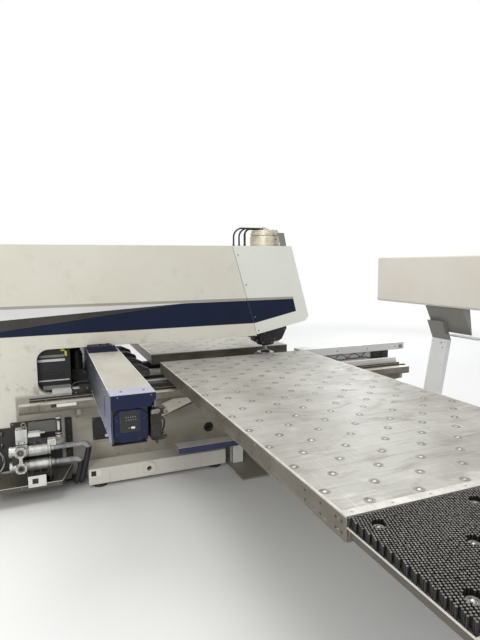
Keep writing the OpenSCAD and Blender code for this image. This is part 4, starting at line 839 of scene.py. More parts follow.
service = Piece("service_box", "frame", BLACK, LABEL, BOLT_STEEL, OLIVE)
service.run(round_box((1705, 364), (1880, 573), 6), -292, FRAME_SIDE)
service.block((-296, 1790, 420), (-292, 1860, 540), 0)
service.block((-300, 1722, 384), (-292, 1775, 414), 0).block((-300.6, 1724, 387), (-300, 1773, 411), 1)
for y, z in ((1716, 560), (1868, 560), (1868, 378), (1716, 440)):
    service.socket_screw((-292, y, z), X, -1, 5, 2, 0)
service.block((-280.6, 1712, 340), (FRAME_SIDE, 1872, 346), 3)
service.done(["service_panel"], edge=1)

# ------------------------------------------------------------------ pump set at the frame's side
backplate = Piece("pump_backplate", "frame", BLACK_DUSTY, BOLT_STEEL, GREASY, BLACK, RIBBED, GREY_PAINT)
for low, high, radius, finish in (((2150, 190), (2562, 616), 8, 0), ((2562, 190), (2780, 575), 8, 0),
                                  ((2058, 240), (2118, 610), 5, 3)):
    backplate.run(round_box(low, high, radius), PLATE_SIDE, FRAME_SIDE, X, finish)
backplate.run(round_box((2165, 500), (2420, 602), 4), PLATE_SIDE - 3, PLATE_SIDE + 1, X, 5)
for z in (300, 430, 570):
    hook = [(PLATE_SIDE, 2088, z), (-316, 2088, z), (-318, 2088, z + 18)]
    backplate.pipe(rounded(hook, 8), 5, 10, 1).ring((PLATE_SIDE, 2088, z + 22), -3, 12, 19, X, 2)
for y in (2170, 2375, 2544):
    for z in (210, 600):
        backplate.bolt((PLATE_SIDE, y, z), X, -1, 8, 1)
for z in (290, 420, 520):
    hook = [(PLATE_SIDE, 2634, z), (-322, 2634, z), (-326, 2634, z + 22), (-316, 2634, z + 30)]
    backplate.pipe(rounded(hook, 12), 6, 10, 1).ring((PLATE_SIDE, 2634, z), -4, 14, 22, X, 2)
route = [(-298, 2640, 540), (-330, 2662, 566), (-322, 2700, 548), (-300, 2716, 500)]
backplate.pipe(rounded(route, 20), 6, 10, 1)
# spare hose coiled on the plate
backplate.pipe([(-299, y, z) for y, z in arc((2738, 284), 114, 0, 360, 48)], 8, 12, 4)
route = [(-299, 2640, 342), (-304, 2668, 400), (-299, 2720, 448), (-297, 2760, 500)]
backplate.pipe(rounded(route, 60), 7, 12, 4)
backplate.done(["pump_plate"], edge=1)

pump = Piece("pump_set", "frame", ALUMINIUM, BOLT_STEEL, BLACK, LABEL, GLASS, DARK_CAST)
for z, port, wide in ((PUMP_LOW, 294, 46), (PUMP_HIGH, 431, 53)):
    pump.turned([(0, 2248), (wide, 2248), (wide + 3, 2251), (wide + 3, 2260), (wide, 2263), (wide - 5, 2264),
                 (wide - 5, 2270), (wide, 2272), (wide, 2312), (wide - 1.5, 2314), (wide - 1.5, 2318),
                 (wide, 2320), (wide, 2366), (wide - 1.5, 2368), (wide - 1.5, 2372), (wide, 2374), (wide, 2418),
                 (wide - 5, 2424), (wide - 5, 2432), (wide - 1, 2434), (wide - 1, 2446), (45, 2449), (45, 2532),
                 (42, 2536), (42, 2544), (45, 2547), (45, 2566), (42, 2570), (0, 2570)], (PUMP_X, 0, z), Y, 40)
    for x, up in around(wide - 4, range(12, 372, 60), (PUMP_X, z)):
        pump.bolt((x, 2248, up), Y, -1, 4.5, 1, False)
    for x, up in around(34, range(20, 380, 45), (PUMP_X, z)):
        pump.bolt((x, 2570, up), Y, 1, 4, 1, False)
    # flange that faces outwards, with its bore and four bolts
    face = (PUMP_X - 84, FLANGE_Y, port)
    pump.run(round_box((FLANGE_Y - 42, port - 42), (FLANGE_Y + 42, port + 42), 24), face[X], face[X] + 13, X)
    pump.rod((face[X] + 13, FLANGE_Y, port), 66, 37, X)
    pump.ring(face, -5, 20, 30, X, 1, 32).turned([(20, -5), (20, -0.6), (0, -0.6)], face, X, 32, 2)
    for dy in (-31, 31):
        for dz in (-31, 31):
            pump.socket_screw((face[X], FLANGE_Y + dy, port + dz), X, -1, 6, 1, 2)
    # clamp straps to the frame
    pump.block((PUMP_X + 34, 2472, z - 38), (PLATE_SIDE, 2538, z + 38), 5)
pump.rod((PUMP_X - 86, FLANGE_Y, 431), -3, 12, X, 1, 6)
neck = [(2462, 330), (2498, 330), (2490, 362), (2498, 396), (2462, 396), (2470, 362)]
pump.run(neck, PUMP_X - 78, PUMP_X - 30, X, 0)
# (half width, low Y and Z, high Y and Z, finish) of the plain blocks on the cylinders
for half, low, high, finish in ((36, (2474, PUMP_LOW + 20), (2546, PUMP_HIGH - 20), 5),
                                (46, (2426, 452), (2512, 484), 0), (44, (2424, 498), (2513, 612), 0),
                                (38, (2432, 482), (2506, 500), 2)):
    pump.block((PUMP_X - half, *low), (PUMP_X + half, *high), finish)
pump.block((PUMP_X - 52, 2428, 494), (PUMP_X - 44, 2510, 518), 0)
for y in (2446, 2490):
    pump.rod((PUMP_X - 52, y, 506), -1.5, 6.5, X, 2, 20)
for dy in (-30, 30):
    for dx in (-34, 34):
        pump.socket_screw((PUMP_X + dx, 2468 + dy, 612), Z, 1, 5, 1, 2)
pump.rod((PUMP_X, 2449, 612), 14, 12, Z, 1)
pump.pipe([(PUMP_X, y, z) for y, z in arc((2449, 641), 17, 0, 360, 20)], 5.5, 10, 1)
# switching valve: dark body, pale cover and a small stem
pump.run(round_box((2322, 486), (2418, 538), 4), PUMP_X - 28, PUMP_X + 30, X, 5)
pump.run(round_box((2324, 538.5), (2419, 573), 6), PUMP_X - 32, PUMP_X + 26, X, 3)
stem = [(0, 2284), (8, 2284), (10, 2288), (10, 2312), (14, 2314), (14, 2324), (0, 2324)]
pump.turned(stem, (PUMP_X, 0, 560), Y, 20, 0)
pump.block((PUMP_X - 22, 2418, 506), (PUMP_X + 22, 2428, 562), 2)
pump.block((PUMP_X - 26, 2276, 462), (PUMP_X + 24, 2322, 508), 5).rod((PUMP_X, 2370, 470), 40, 16, Z, 1)
# gauge glass on its rounded block
pump.run(round_box((2144, 444), (2204, 512), 20), PUMP_X - 30, PUMP_X + 30, X, 1)
pump.block((PUMP_X - 34, 2202, 446), (PUMP_X + 26, 2268, 498), 3)
pump.block((PUMP_X - 35.5, 2210, 456), (PUMP_X - 34, 2260, 490), 0)
for z, high, radius, finish in ((510, 14, 26, 0), (524, 12, 28, 2), (536, 10, 29, 0), (546, 18, 24, 2),
                                (563, 84, 12, 3), (646, 8, 28, 1), (654, 16, 22, 5), (670, 14, 28, 0)):
    pump.rod((PUMP_X, GAUGE_Y, z), high, radius, Z, finish)
for dx, dy in ((-20, -20), (20, -20), (-20, 20), (20, 20)):
    pump.rod((PUMP_X + dx, GAUGE_Y + dy, 562), 86, 3.2, Z, 2, 10)
# foot that carries the set on the tray
for y in (2250, 2426):
    pump.run([(PUMP_X - 40, 150), (PUMP_X + 40, 150), (PUMP_X + 30, 246), (PUMP_X - 30, 246)], y, y + 14, Y, 5)
pump.block((PUMP_X - 44, 2240, 133), (PUMP_X + 44, 2446, 150), 5)
for y in (2270, 2330, 2390):
    route = [(PUMP_X - 20, y, 250), (PUMP_X - 46, y + 8, 214),
             (PUMP_X - 30, y + 20, 170), (PUMP_X + 10, y + 30, 152)]
    pump.pipe(rounded(route, 26), 6, 10, 2)
pump.done(["pump_body"], edge=1.2)

suction = Piece("ribbed_hoses", "frame", RIBBED, ALUMINIUM, RUBBER)
# each route's points as (distance from the pump's X towards the frame, Y, Z), then the hose's radius,
# sides, finish, rib depth and rib pitch
for route, radius, sides, finish, rib, pitch in (
    (((0, 2236, 418), (0, 1985, 418), (0, 1968, 415), (0, 1952, 406), (0, 1942, 392), (0, 1937, 376)),
     22.5, 20, 0, 0.9, 8),
    (((0, 1937, 380), (0, 1936, 350), (0, 1950, 290), (0, 1991, 118), (8, 1998, 84), (34, 2002, 66),
      (168, 2004, 62)), 25, 20, 2, 1.4, 11),
    (((0, 2236, 286), (0, 2050, 286), (0, 2032, 283), (0, 2017, 274), (0, 2008, 260)), 22.5, 20, 0, 0.9, 8),
    (((0, 2009, 264), (0, 2006, 246), (2, 2014, 190), (6, 2030, 120), (14, 2040, 84), (40, 2052, 62),
      (168, 2060, 58)), 23, 18, 2, 1.2, 11),
):
    suction.pipe([(PUMP_X + x, y, z) for x, y, z in route], radius, sides, finish, rib, pitch)
for z in (PUMP_LOW, PUMP_HIGH):
    suction.ring((PUMP_X, 2222, z), 26, 20, 28, Y, 1).rod((PUMP_X, 2226, z + 27), 14, 4, Y, 1, 10)
    suction.ring((PUMP_X, 2190, z), 8, 20, 25.5, Y, 1)
suction.ring((FRAME_SIDE, 2004, 62), -22, 18, 27, X, 1).ring((FRAME_SIDE, 2060, 58), -22, 18, 26, X, 1)
suction.done(["pump_hoses"])

tray = Piece("tray_fittings", "frame", LABEL, BOLT_STEEL, WHITE_PAINT, BLACK, RAIL_PALE)
corners = ((FRAME_SIDE, 2068), (TRAY_SIDE, 2165), (TRAY_SIDE, 2780), (FRAME_SIDE, 2780))
for a, b in ((1, 0), (1, 2), (2, 3)):
    tray.pipe([(*corners[a], 169), (*corners[b], 169)], 2.6, 8, 4)
tray.block((TRAY_SIDE - 2, 2291, 150), (TRAY_SIDE, 2430, 245), 0)
tray.block((TRAY_SIDE - 2.6, 2352, 178), (TRAY_SIDE - 2, 2398, 222), 3)
for y in (2300, 2420):
    tray.rod((TRAY_SIDE - 2, y, 160), -1, 3, X, 1, 12)
for y in (2200, 2480, 2680):
    tray.bolt((TRAY_SIDE, y, 150), X, -1, 6, 1)
tray.done(edge=0.8)

guard = Piece("throat_screens", "frame", BLACK, GREY_PAINT, WHITE_PAINT, YELLOW, BOLT_STEEL)
for x, y in ((-200, 2043), (200, 1930)):
    screen = [(y, 833), (2223, 833), (2292, 864), (2323, 933),
              (2323, 1137), (2292, 1206), (2223, 1237), (y, 1237)]
    guard.run(screen, x, x + 6)
# bars across the near screen: low and high corner, corner radius, outer face, finish
for low, high, radius, face, finish in (
    ((2093, 1152), (2302, 1173), 5, -212, 1), ((2087, 1115), (2321, 1136), 5, -216, 2),
    ((2055, 937), (2318, 946), 3, -214, 2), ((2048, 858), (2282, 894), 7, -216, 1),
):
    guard.run(round_box(low, high, radius), face, -199, X, finish)
guard.block((-216, 2069, 1158), (-199, 2088, 1222), 3).block((-216, 2069, 1205), (-199, 2120, 1222), 3)
route = [(-206, 2110, 1010), (-214, 2160, 990), (-210, 2220, 1000), (-206, 2280, 980)]
guard.pipe(rounded(route, 20), 6, 10, 0)
for y, z in ((2110, 1162), (2280, 1162), (2110, 1126), (2290, 1126), (2070, 876), (2262, 876)):
    guard.socket_screw((-214, y, z), X, -1, 4, 4, 0)
guard.done(["throat_guard"], edge=0.8)

# ------------------------------------------------------------------ cross rail
LID_END = -1815
lid = Piece("rail_cover", "y_carriage", LID, RAIL_RIM, WHITE_PAINT, BLACK)
lid.block((LID_END - 1, RAIL_FRONT + 8, RAIL_TOP - 6), (-797, RAIL_REAR - 8, RAIL_TOP - 2.5), 0)
lid.block((-798, RAIL_FRONT + 8, RAIL_TOP - 5), (0, RAIL_REAR - 8, RAIL_TOP - 1.2), 0)
for y0, y1, rim in ((RAIL_FRONT, RAIL_FRONT + 9, RAIL_FRONT + 6), (RAIL_REAR - 9, RAIL_REAR, RAIL_REAR)):
    lid.block((LID_END, y0, RAIL_TOP - 12), (0, y1, RAIL_TOP - 6.5), 3)
    lid.block((LID_END, rim - 6, RAIL_TOP - 7), (0, rim, RAIL_TOP), 2)
lid.block((-RAIL_END + 30, RAIL_FRONT, RAIL_TOP - 8), (LID_END, RAIL_REAR, RAIL_TOP - 0.4), 1)
lid.both_sides()
lid.done(["rail_lid"], edge=0.8)

ends = Piece("rail_end_plates", "y_carriage", RAIL_NAVY, BOLT_STEEL, RAIL_RIM, BLACK)
END_LOW = RAIL_TOP - 88
ends.run([(RAIL_FRONT + 45, END_LOW), (RAIL_REAR, END_LOW), (RAIL_REAR, RAIL_TOP - 3),
          (RAIL_FRONT, RAIL_TOP - 3), (RAIL_FRONT, END_LOW + 45)], -RAIL_END, -RAIL_END + 8, X, 0)
ends.block((-RAIL_END, RAIL_FRONT, RAIL_TOP - 3), (-RAIL_END + 30, RAIL_REAR, RAIL_TOP), 2)
ends.block((-RAIL_END + 8, RAIL_FRONT + 10, END_LOW), (-RAIL_BEAM_END, RAIL_REAR - 10, END_LOW + 5), 0)
for y in (RAIL_FRONT + 62, RAIL_REAR - 72):
    ends.rod((-1890, y, RAIL_TOP - 0.5), 2, 8, Z, 3, 16, 0.4)
for y in (RAIL_REAR - 40, RAIL_FRONT + 30):
    ends.socket_screw((-RAIL_END, y, RAIL_TOP - 16), X, -1, 4, 1, 3)
ends.block((-RAIL_END + 1, RAIL_REAR - 4, RAIL_LOW - 2), (-RAIL_END + 14, RAIL_REAR, END_LOW), 0)
ends.block((-RAIL_END + 1, RAIL_FRONT + 60, RAIL_LOW - 4), (-RAIL_BEAM_END, RAIL_REAR - 4, RAIL_LOW), 3)
ends.both_sides()
ends.done(["rail_ends"], edge=1)


def servo_box(low, high, radius):
    """Outline of a box with round corners, its corners measured from the servo's axis."""
    return round_box((SERVO_Y + low[0], SERVO_Z + low[1]), (SERVO_Y + high[0], SERVO_Z + high[1]), radius)


def cut_square(half, cut):
    """Outline of the servo's square face with its corners cut, in Y and Z."""
    h, c = half, half - cut
    corners = [(h, c), (c, h), (-c, h), (-h, c), (-h, -c), (-c, -h), (c, -h), (h, -c)]
    return [(SERVO_Y + y, SERVO_Z + z) for y, z in corners]


SERVO_FACE = -1963.4
servo = Piece("servo_units", "y_carriage", RAIL_NAVY, BLACK, BOLT_STEEL, BLACK_DUSTY, GREY_PAINT, LABEL)
servo.run(servo_box((-104, -104), (104, 104), 5), -1936, -RAIL_BEAM_END, X, 1)
servo.run(cut_square(106, 47), -1950, -1934, X, 0)
servo.run(cut_square(97, 43), -1962, -1950, X, 0, cut_square(106, 47))
servo.run(servo_box((-52, -34), (65, 91), 6), SERVO_FACE, -1961, X, 1)
for row, z in enumerate((55, 38)):
    for k in range(5):
        servo.rod((SERVO_FACE, SERVO_Y + 32 - 14 * k - 3 * row, SERVO_Z + z), -1.4, 3.4, X, 4, 12, 0.4)
servo.run(servo_box((-21, -16), (2, -4), 3), -1965, -1963, X, 5)
servo.rod((SERVO_FACE, SERVO_Y + 14, SERVO_Z - 10), -1.4, 4, X, 4, 12, 0.4)
for dy, dz in ((-78, -40), (-78, 40), (84, -40), (84, 40), (-40, -82), (40, -82)):
    servo.socket_screw((-1961.4, SERVO_Y + dy, SERVO_Z + dz), X, -1, 5, 1, 1)
servo.turned([(0, -1690), (66, -1690), (70, -1694), (70, -1880), (0, -1880)], (0, SERVO_Y, SERVO_Z), X, 36, 3)
servo.block((-1730, 1705, 915), (-1690, 1865, 972), 3)
servo.both_sides()
servo.done(["servo_drives"], edge=1.5)

slots = Piece("rail_fittings", "y_carriage", BLACK, BOLT_STEEL, RAIL_RIM, GREASY)
# black strip over the slot in the side sheet: painted shade for the slot's dark inside
slots.block((-1650, RAIL_REAR - 0.5, 988), (-1626, RAIL_REAR + 1.2, 1122), 0)
for x in (-1700, -1560, -1200, -700):
    for z in (RAIL_LOW + 24, RAIL_TOP - 60):
        slots.socket_screw((x, RAIL_REAR, z), Y, 1, 6, 1, 0)
slots.block((-1900, RAIL_REAR, RAIL_LOW + 4), (-700, RAIL_REAR + 1.6, RAIL_LOW + 12), 2)
slots.both_sides()
slots.done()

# greasy mechanism at the rail's front, measured from its own corner
grip = Piece("end_mechanism", "y_carriage", GREASY, BOLT_STEEL, BLACK)
gx, gy = -RAIL_END + 40, RAIL_FRONT
eye_y, eye_z = gy - 58, RAIL_TOP - 131
grip.block((gx - 24, gy - 10, RAIL_LOW - 30), (gx + 44, gy, RAIL_TOP - 98))
grip.run(round_box((gy - 28, RAIL_LOW - 4), (gy + 34, RAIL_TOP - 118), 10), gx - 30, gx + 40, X)
grip.run(round_box((gy - 20, RAIL_LOW + 20), (gy + 24, RAIL_LOW + 96), 8), gx - 35, gx - 29, X, 2)
for dx in (-20, 22):
    grip.block((gx + dx, gy - 36, RAIL_TOP - 262), (gx + dx + 12, gy - 10, RAIL_TOP - 112))
grip.run(round_box((gy - 64, RAIL_TOP - 152), (gy - 18, RAIL_TOP - 110), 9), gx - 18, gx + 30, X)
for dy, radius in ((18, 13), (-12, 11)):
    grip.rod((gx - 31, gy + dy, RAIL_TOP - 124), -5, radius, X, 1)
lever = [(-10, -142), (30, -140), (28, -114), (-8, -112)]
grip.run([(gy + dy, RAIL_TOP + dz) for dy, dz in lever], gx - 34, gx - 10, X, 1)
grip.ring((gx - 34, eye_y, eye_z), 16, 8, 15, X, 1).rod((gx - 30, eye_y, eye_z), 62, 8, X, 1)
grip.ring((gx + 18, eye_y, eye_z), 14, 8, 15, X, 1)
grip.run(round_box((gy - 58, RAIL_LOW - 12), (gy - 18, RAIL_LOW + 34), 12), gx - 10, gx + 30, X)
grip.rod((gx - 26, gy - 50, RAIL_LOW + 14), 58, 15, X, 2)
grip.ring((gx - 24, gy - 50, RAIL_LOW + 14), 12, 9, 16, X, 1)
for z in (RAIL_LOW + 60, RAIL_LOW + 110, RAIL_TOP - 190):
    grip.bolt((gx - 20, gy - 24, z), X, -1, 7, 1)
route = [(gx - 14, gy - 30, RAIL_TOP - 160), (gx - 22, gy - 52, RAIL_TOP - 190),
         (gx - 16, gy - 48, RAIL_LOW + 70), (gx - 4, gy - 40, RAIL_LOW + 40)]
grip.pipe(rounded(route, 24), 6, 10, 2)
grip.done(["end_bracket"], edge=1)

# lubricated shoes behind the rail, on the guide rails
shoes = Piece("guide_shoe_units", "y_carriage", GREASY, BLACK, BOLT_STEEL)
shoes.run(round_box((1896, 842), (1990, 948), 8), -516, -446, X, 0)
shoes.run(round_box((1988, 842), (2052, 902), 10), -512, -452, X, 1)
shoes.run(round_box((1908, 903), (1972, 938), 5), -519, -515, X, 1)
shoes.rod((-512, 2020, 884), -7, 9, X, 2, 16).rod((-519, 1925, 921), -4, 6, X, 2, 12)
for x, y, z in ((-515, 1910, 858), (-515, 1975, 858), (-512, 2004, 856), (-512, 2040, 856)):
    shoes.socket_screw((x, y, z), X, -1, 5, 2, 1)
route = [(-486, 2036, 896), (-494, 2058, 930), (-488, 2034, 962), (-480, 1985, 972), (-474, 1902, 960)]
shoes.pipe(rounded(route, 18), 6, 10, 1)
shoes.both_sides()
shoes.done(edge=1)

motor = Piece("carriage_motor_fittings", "y_carriage", BLACK_DUSTY, BOLT_STEEL, RUBBER)
for k in range(9):
    motor.ring((5, 1973, 1000 + 15 * k), 5, 46, 54, Z, 0, 28)
route = [(5, 2012, 1110), (5, 2050, 1100), (10, 2056, 1000), (10, 2050, 900), (40, 1960, 872)]
motor.pipe(rounded(route, 30), 8, 10, 2)
motor.bolt((-50, 2036, 970), Y, 1, 7, 1)
motor.done()


# ------------------------------------------------------------------ tables
def ball_unit(piece, x, y, top):
    """A steel ball in its sleeve: a flanged ring, the dark gap and the ball's dome."""
    sleeve = [(25, 0), (24.6, 1.1), (22.5, 1.5), (13.8, 1.5), (13, 0.9)]
    gap = [(13, 0.9), (11.4, 0.15), (9.6, 0.15)]
    dome = [(9.8, 0.1), (8.2, 0.9), (4.6, 1.5), (0, 1.5)]
    for finish, profile in enumerate((sleeve, gap, dome)):
        piece.turned(profile, (x, y, top), Z, 20, finish)


balls = Piece("ball_units", "y_carriage", RING_STEEL, BLACK, STEEL)
for k in range(23):
    for y in range(1186 if k % 2 else 1061, TABLE_FRONT + 44, -250):
        ball_unit(balls, 135 * k - 3302, y, TABLE_TOP)
balls.both_sides()
balls.done(["ball_inserts"])

BRUSH_HOLES = [(TABLE_OUT + 83 + 211 * i, y) for i in range(3)
               for y in range(1136 - 233 * (i % 2), TABLE_FRONT + 40, -466)]
TUFT_PITCH = 12.35
BRUSH_LOW, BRUSH_TOP = TABLE_TOP - 45, TABLE_TOP
BRUSH_RAIL = BRUSH_OUT - 34


def brush_bed(name, side):
    """One field of six-sided tufts on a slanted square grid, clear of the ball units."""
    draw = np.random.default_rng(11)
    steps = np.arange(-150, 151)
    along = np.array((1, -3)) * TUFT_PITCH / math.sqrt(10)
    across = np.array((3, 1)) * TUFT_PITCH / math.sqrt(10)
    grid = (steps[:, None, None] * along + steps[None, :, None] * across).reshape(-1, 2)
    grid = grid + (TABLE_OUT + 300, 424)
    x, y = grid.T
    keep = (x > TABLE_OUT + 8) & (x < BRUSH_RAIL - 5) & (y > TABLE_FRONT + 7) & (y < TABLE_REAR - 6)
    for hole_x, hole_y in BRUSH_HOLES:
        keep &= np.hypot(x - hole_x, y - hole_y) > 27
    grid = grid[keep]
    n = len(grid)
    turns = np.radians(60) * np.arange(6)
    ring = np.stack([np.cos(turns), np.sin(turns)], 1)
    lean, high = draw.normal(0, 0.55, (n, 1, 2)), draw.normal(0, 0.35, (n, 1))
    # (radius, height, share of the lean) of the three rings of a tuft
    levels = ((4.5, BRUSH_LOW + 5, 0), (4.8, BRUSH_TOP - 1.2, 1), (3.9, BRUSH_TOP - 0.1, 1))
    places = [grid[:, None, :] + ring * radius + lean * share for radius, z, share in levels]
    heights = [np.full((n, 6), z) + high * share for radius, z, share in levels]
    verts = np.concatenate([np.concatenate(places, 1), np.concatenate(heights, 1)[:, :, None]], 2)
    verts = verts.reshape(-1, 3)
    verts[:, 0] *= side
    faces = []
    for at in range(0, 18 * n, 18):
        for low in (at, at + 6):
            faces += [(low + k, low + (k + 1) % 6, low + 6 + (k + 1) % 6, low + 6 + k) for k in range(6)]
        faces.append(tuple(range(at + 12, at + 18)))
    if side < 0:
        faces = [face[::-1] for face in faces]
    data = bpy.data.meshes.new(name)
    data.from_pydata((verts * MM).tolist(), [], faces)
    made = mesh_object(name, data, BRISTLE)
    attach(made, "y_carriage")


brush_bed("tufts_left", -1)
brush_bed("tufts_right", 1)
bed = Piece("brush_carriers", "y_carriage", BLACK_DUSTY, RAIL_PALE, BOLT_STEEL, BLACK, STEEL)
bed.block((-BRUSH_RAIL - 1, TABLE_FRONT + 2, BRUSH_LOW), (-TABLE_OUT - 4, TABLE_REAR - 2, BRUSH_LOW + 6), 0)
for x, y in BRUSH_HOLES:
    bed.turned([(23, 0), (23, 22), (21, 24), (14, 24), (13, 20)], (-x, y, BRUSH_LOW + 6), Z, 24, 2)
    bed.turned([(13, 20), (10.5, 20), (9, 23), (5, 26), (0, 27)], (-x, y, BRUSH_LOW + 6), Z, 24, 4)
bed.block((-BRUSH_OUT, TABLE_FRONT, BRUSH_LOW), (-BRUSH_RAIL, TABLE_REAR, BRUSH_LOW + 6.6), 1)
for y in (TABLE_FRONT, TABLE_REAR - 3):
    bed.block((-BRUSH_RAIL, y, BRUSH_LOW), (-TABLE_OUT - 4, y + 3, BRUSH_LOW + 6.6), 1)
for y in range(-300, 1200, 250):
    bed.socket_screw((-BRUSH_RAIL - 17, y, BRUSH_LOW + 6.6), Z, 1, 5, 2, 3)
bed.both_sides()
bed.done(["brush_beds"], edge=1)

strip = Piece("table_end_strips", "y_carriage", STRIP_STEEL, BOLT_STEEL)
strip.block((-TABLE_OUT, TABLE_FRONT + 1, TABLE_TOP - 0.5),
            (-TABLE_OUT + 45, TABLE_REAR - 1, TABLE_TOP + 0.8), 0)
for y in range(-340, 1200, 190):
    strip.turned([(0, 0.3), (5, 0.3), (5.6, 0)], (-TABLE_OUT + 22, y, TABLE_TOP + 0.8), Z, 14, 1)
strip.both_sides()
strip.done()

# bare bright edges along the tables
trim = Piece("table_edge_trim", "y_carriage", STRIP_STEEL)
section = ((-9, -0.5), (-9, 0.6), (-0.6, 0.6), (0.6, -0.6), (0.6, -6), (-0.4, -6), (-0.4, -0.5))
for y, out in ((TABLE_REAR, 1), (TABLE_FRONT, -1)):
    trim.run([(y + out * dy, TABLE_TOP + dz) for dy, dz in section], -TABLE_OUT, -TABLE_IN)
trim.both_sides()
trim.done()

skirt = Piece("skirt_fittings", "y_carriage", BLACK, BOLT_STEEL, BRACKET_PAINT)
for y, out in ((TABLE_REAR, 1), (TABLE_FRONT, -1)):
    for x in (3345, 3303, 3190, 3062, 2700, 2300, 1900, 1500, 1100, 700, 320):
        for z in (952, 996):
            skirt.turned([(0, 0.2 * out), (6.5, 0.2 * out)], (-x, y, z), Y, 16, 0)
    for z in (952, 996):
        skirt.turned([(0, 0), (5.5, 0), (5, out * 1.4), (0, out * 2)], (-3322, y, z), Y, 14, 1)
    for x in (2520, 1250, 480):
        skirt.turned([(0, 0), (6, 0), (5.4, out * 1.6), (0, out * 2.4)], (-x, y, 1008), Y, 14, 1)
for y in range(-300, 1200, 140):
    skirt.turned([(0, -0.2), (6, -0.2)], (-TABLE_IN, y, 960), X, 14, 0)
for y in range(-330, 1200, 190):
    skirt.bolt((-BRUSH_OUT, y, 955), X, -1, 5, 1)
skirt.both_sides()
skirt.done()

# ------------------------------------------------------------------ clamps
clamps = Piece("clamp_fittings", "x_carriage", BOLT_STEEL, BLACK, RAIL_NAVY, RUBBER)
for x in (-520, -175, 175, 520):
    clamps.rod((x, 1560, 1046), 30, 19, Y, 1).rod((x, 1548, 1046), 12, 8, Y, 0)
    for dx in (-28, 28):
        clamps.socket_screw((x + dx, 1574, 968), Y, -1, 5, 0, 1)
    route = [(x + 12, 1590, 1050), (x + 16, 1570, 1092), (x + 60, 1572, 1104), (x + 90, 1580, 1100)]
    clamps.pipe(rounded(route, 14), 3.5, 8, 3)
clamps.pipe([(-600, 1580, 1098), (0, 1583, 1100), (610, 1580, 1098)], 6, 10, 3)
for x in range(-600, 601, 100):
    clamps.socket_screw((x, 1574, 948), Y, -1, 5.5, 0, 1)
clamps.done()

# ------------------------------------------------------------------ control console
post = Piece("console_column", "frame", WHITE_PAINT, BLACK, BOLT_STEEL)
lean = Matrix.Rotation(math.radians(10), 3, "X")
foot = Vector((CONSOLE_X, CONSOLE_Y + 3, 6))
post.block((CONSOLE_X - 190, CONSOLE_Y - 287, 0), (CONSOLE_X + 190, CONSOLE_Y + 63, 12))
post.block(foot + Vector((-113.5, -30, 0)), foot + Vector((113.5, 30, 1108)), 0, lean, foot)
# dark round marks on the post: X from its middle, distance up, radius
for dx, up, size in ((-36, 1066, 9), (-20, 1048, 5), (-66, 1012, 8), (88, 1070, 4), (-92, 1074, 4),
                     (80, 830, 4), (-88, 820, 5), (84, 500, 4), (-90, 560, 4)):
    mark = foot + lean @ Vector((dx, 30, up))
    normal = lean @ Vector((0, 1, 0))
    post.pipe([mark - normal, mark + normal * 0.5], size, 12, 1)
for dx in (-150, 150):
    for y in (CONSOLE_Y - 250, CONSOLE_Y + 30):
        post.bolt((CONSOLE_X + dx, y, 12), Z, 1, 9, 2)
post.done(["console_post"], edge=3)

case = Piece("console_case", "frame", CONSOLE_PAINT, BLACK, BOLT_STEEL, GREY_PAINT)
case.run(round_box((CONSOLE_BACK, CONSOLE_LOW), (CONSOLE_Y, CONSOLE_TOP), 28, 8), CONSOLE_RIGHT, CONSOLE_LEFT)
case.turned([(0, 0.4), (11, 0.4), (13, 0), (14, -1)], (CONSOLE_LEFT, CONSOLE_Y - 30, 1767), X, 24, 1)
for z in (CONSOLE_LOW + 42, CONSOLE_TOP - 42):
    case.turned([(0, 1.8), (3.6, 1.4), (4.4, 0)], (CONSOLE_LEFT, CONSOLE_Y - 24, z), X, 14, 2)
case.run(round_box((CONSOLE_X - 296, CONSOLE_LOW + 178), (CONSOLE_X + 216, CONSOLE_TOP - 58), 10),
         CONSOLE_BACK - 1.5, CONSOLE_BACK + 4, Y, 3)
case.block((CONSOLE_X - 300, CONSOLE_BACK - 1, CONSOLE_LOW + 60),
           (CONSOLE_X + 220, CONSOLE_BACK + 1, CONSOLE_LOW + 160), 3)
case.done(["console_housing"], edge=4)


def panel_box(low, high, radius):
    """Outline of a box with round corners on the console's face, measured from its middle and its foot."""
    return round_box((CONSOLE_X + low[0], CONSOLE_LOW + low[1]),
                     (CONSOLE_X + high[0], CONSOLE_LOW + high[1]), radius)


PANEL_FACE = CONSOLE_BACK - 1.5
panel = Piece("console_panel", "frame", GLASS, BLACK, LABEL, GREEN, YELLOW, BOLT_STEEL)
panel.run(panel_box((-230, 214), (120, 482), 6), PANEL_FACE - 3, PANEL_FACE, Y, 1)
panel.run(panel_box((-214, 230), (104, 466), 3), PANEL_FACE - 3.6, PANEL_FACE - 3, Y, 0)
for up in range(222, 486, 44):
    panel.run(panel_box((142, up), (176, up + 30), 4), PANEL_FACE - 4, PANEL_FACE, Y, 2)
for row in range(3):
    for col in range(14):
        dx, up = -270 + 33 * col, 68 + 30 * row
        key = panel_box((dx, up), (dx + 26, up + 23), 3)
        panel.run(key, CONSOLE_BACK - 5, CONSOLE_BACK - 1, Y, 2 if (row + col) % 5 else 1)
for dx, finish in ((290, 1), (360, 4)):
    panel.rod((CONSOLE_X + dx, CONSOLE_BACK, CONSOLE_LOW + 240), -14, 16, Y, finish)
panel.ring((ESTOP_X, CONSOLE_BACK, BUTTON_Z), -5, 13, 30, Y, 4)
panel.ring((START_X, CONSOLE_BACK, BUTTON_Z), -3, 11, 19, Y, 5)
panel.done(edge=0.6)

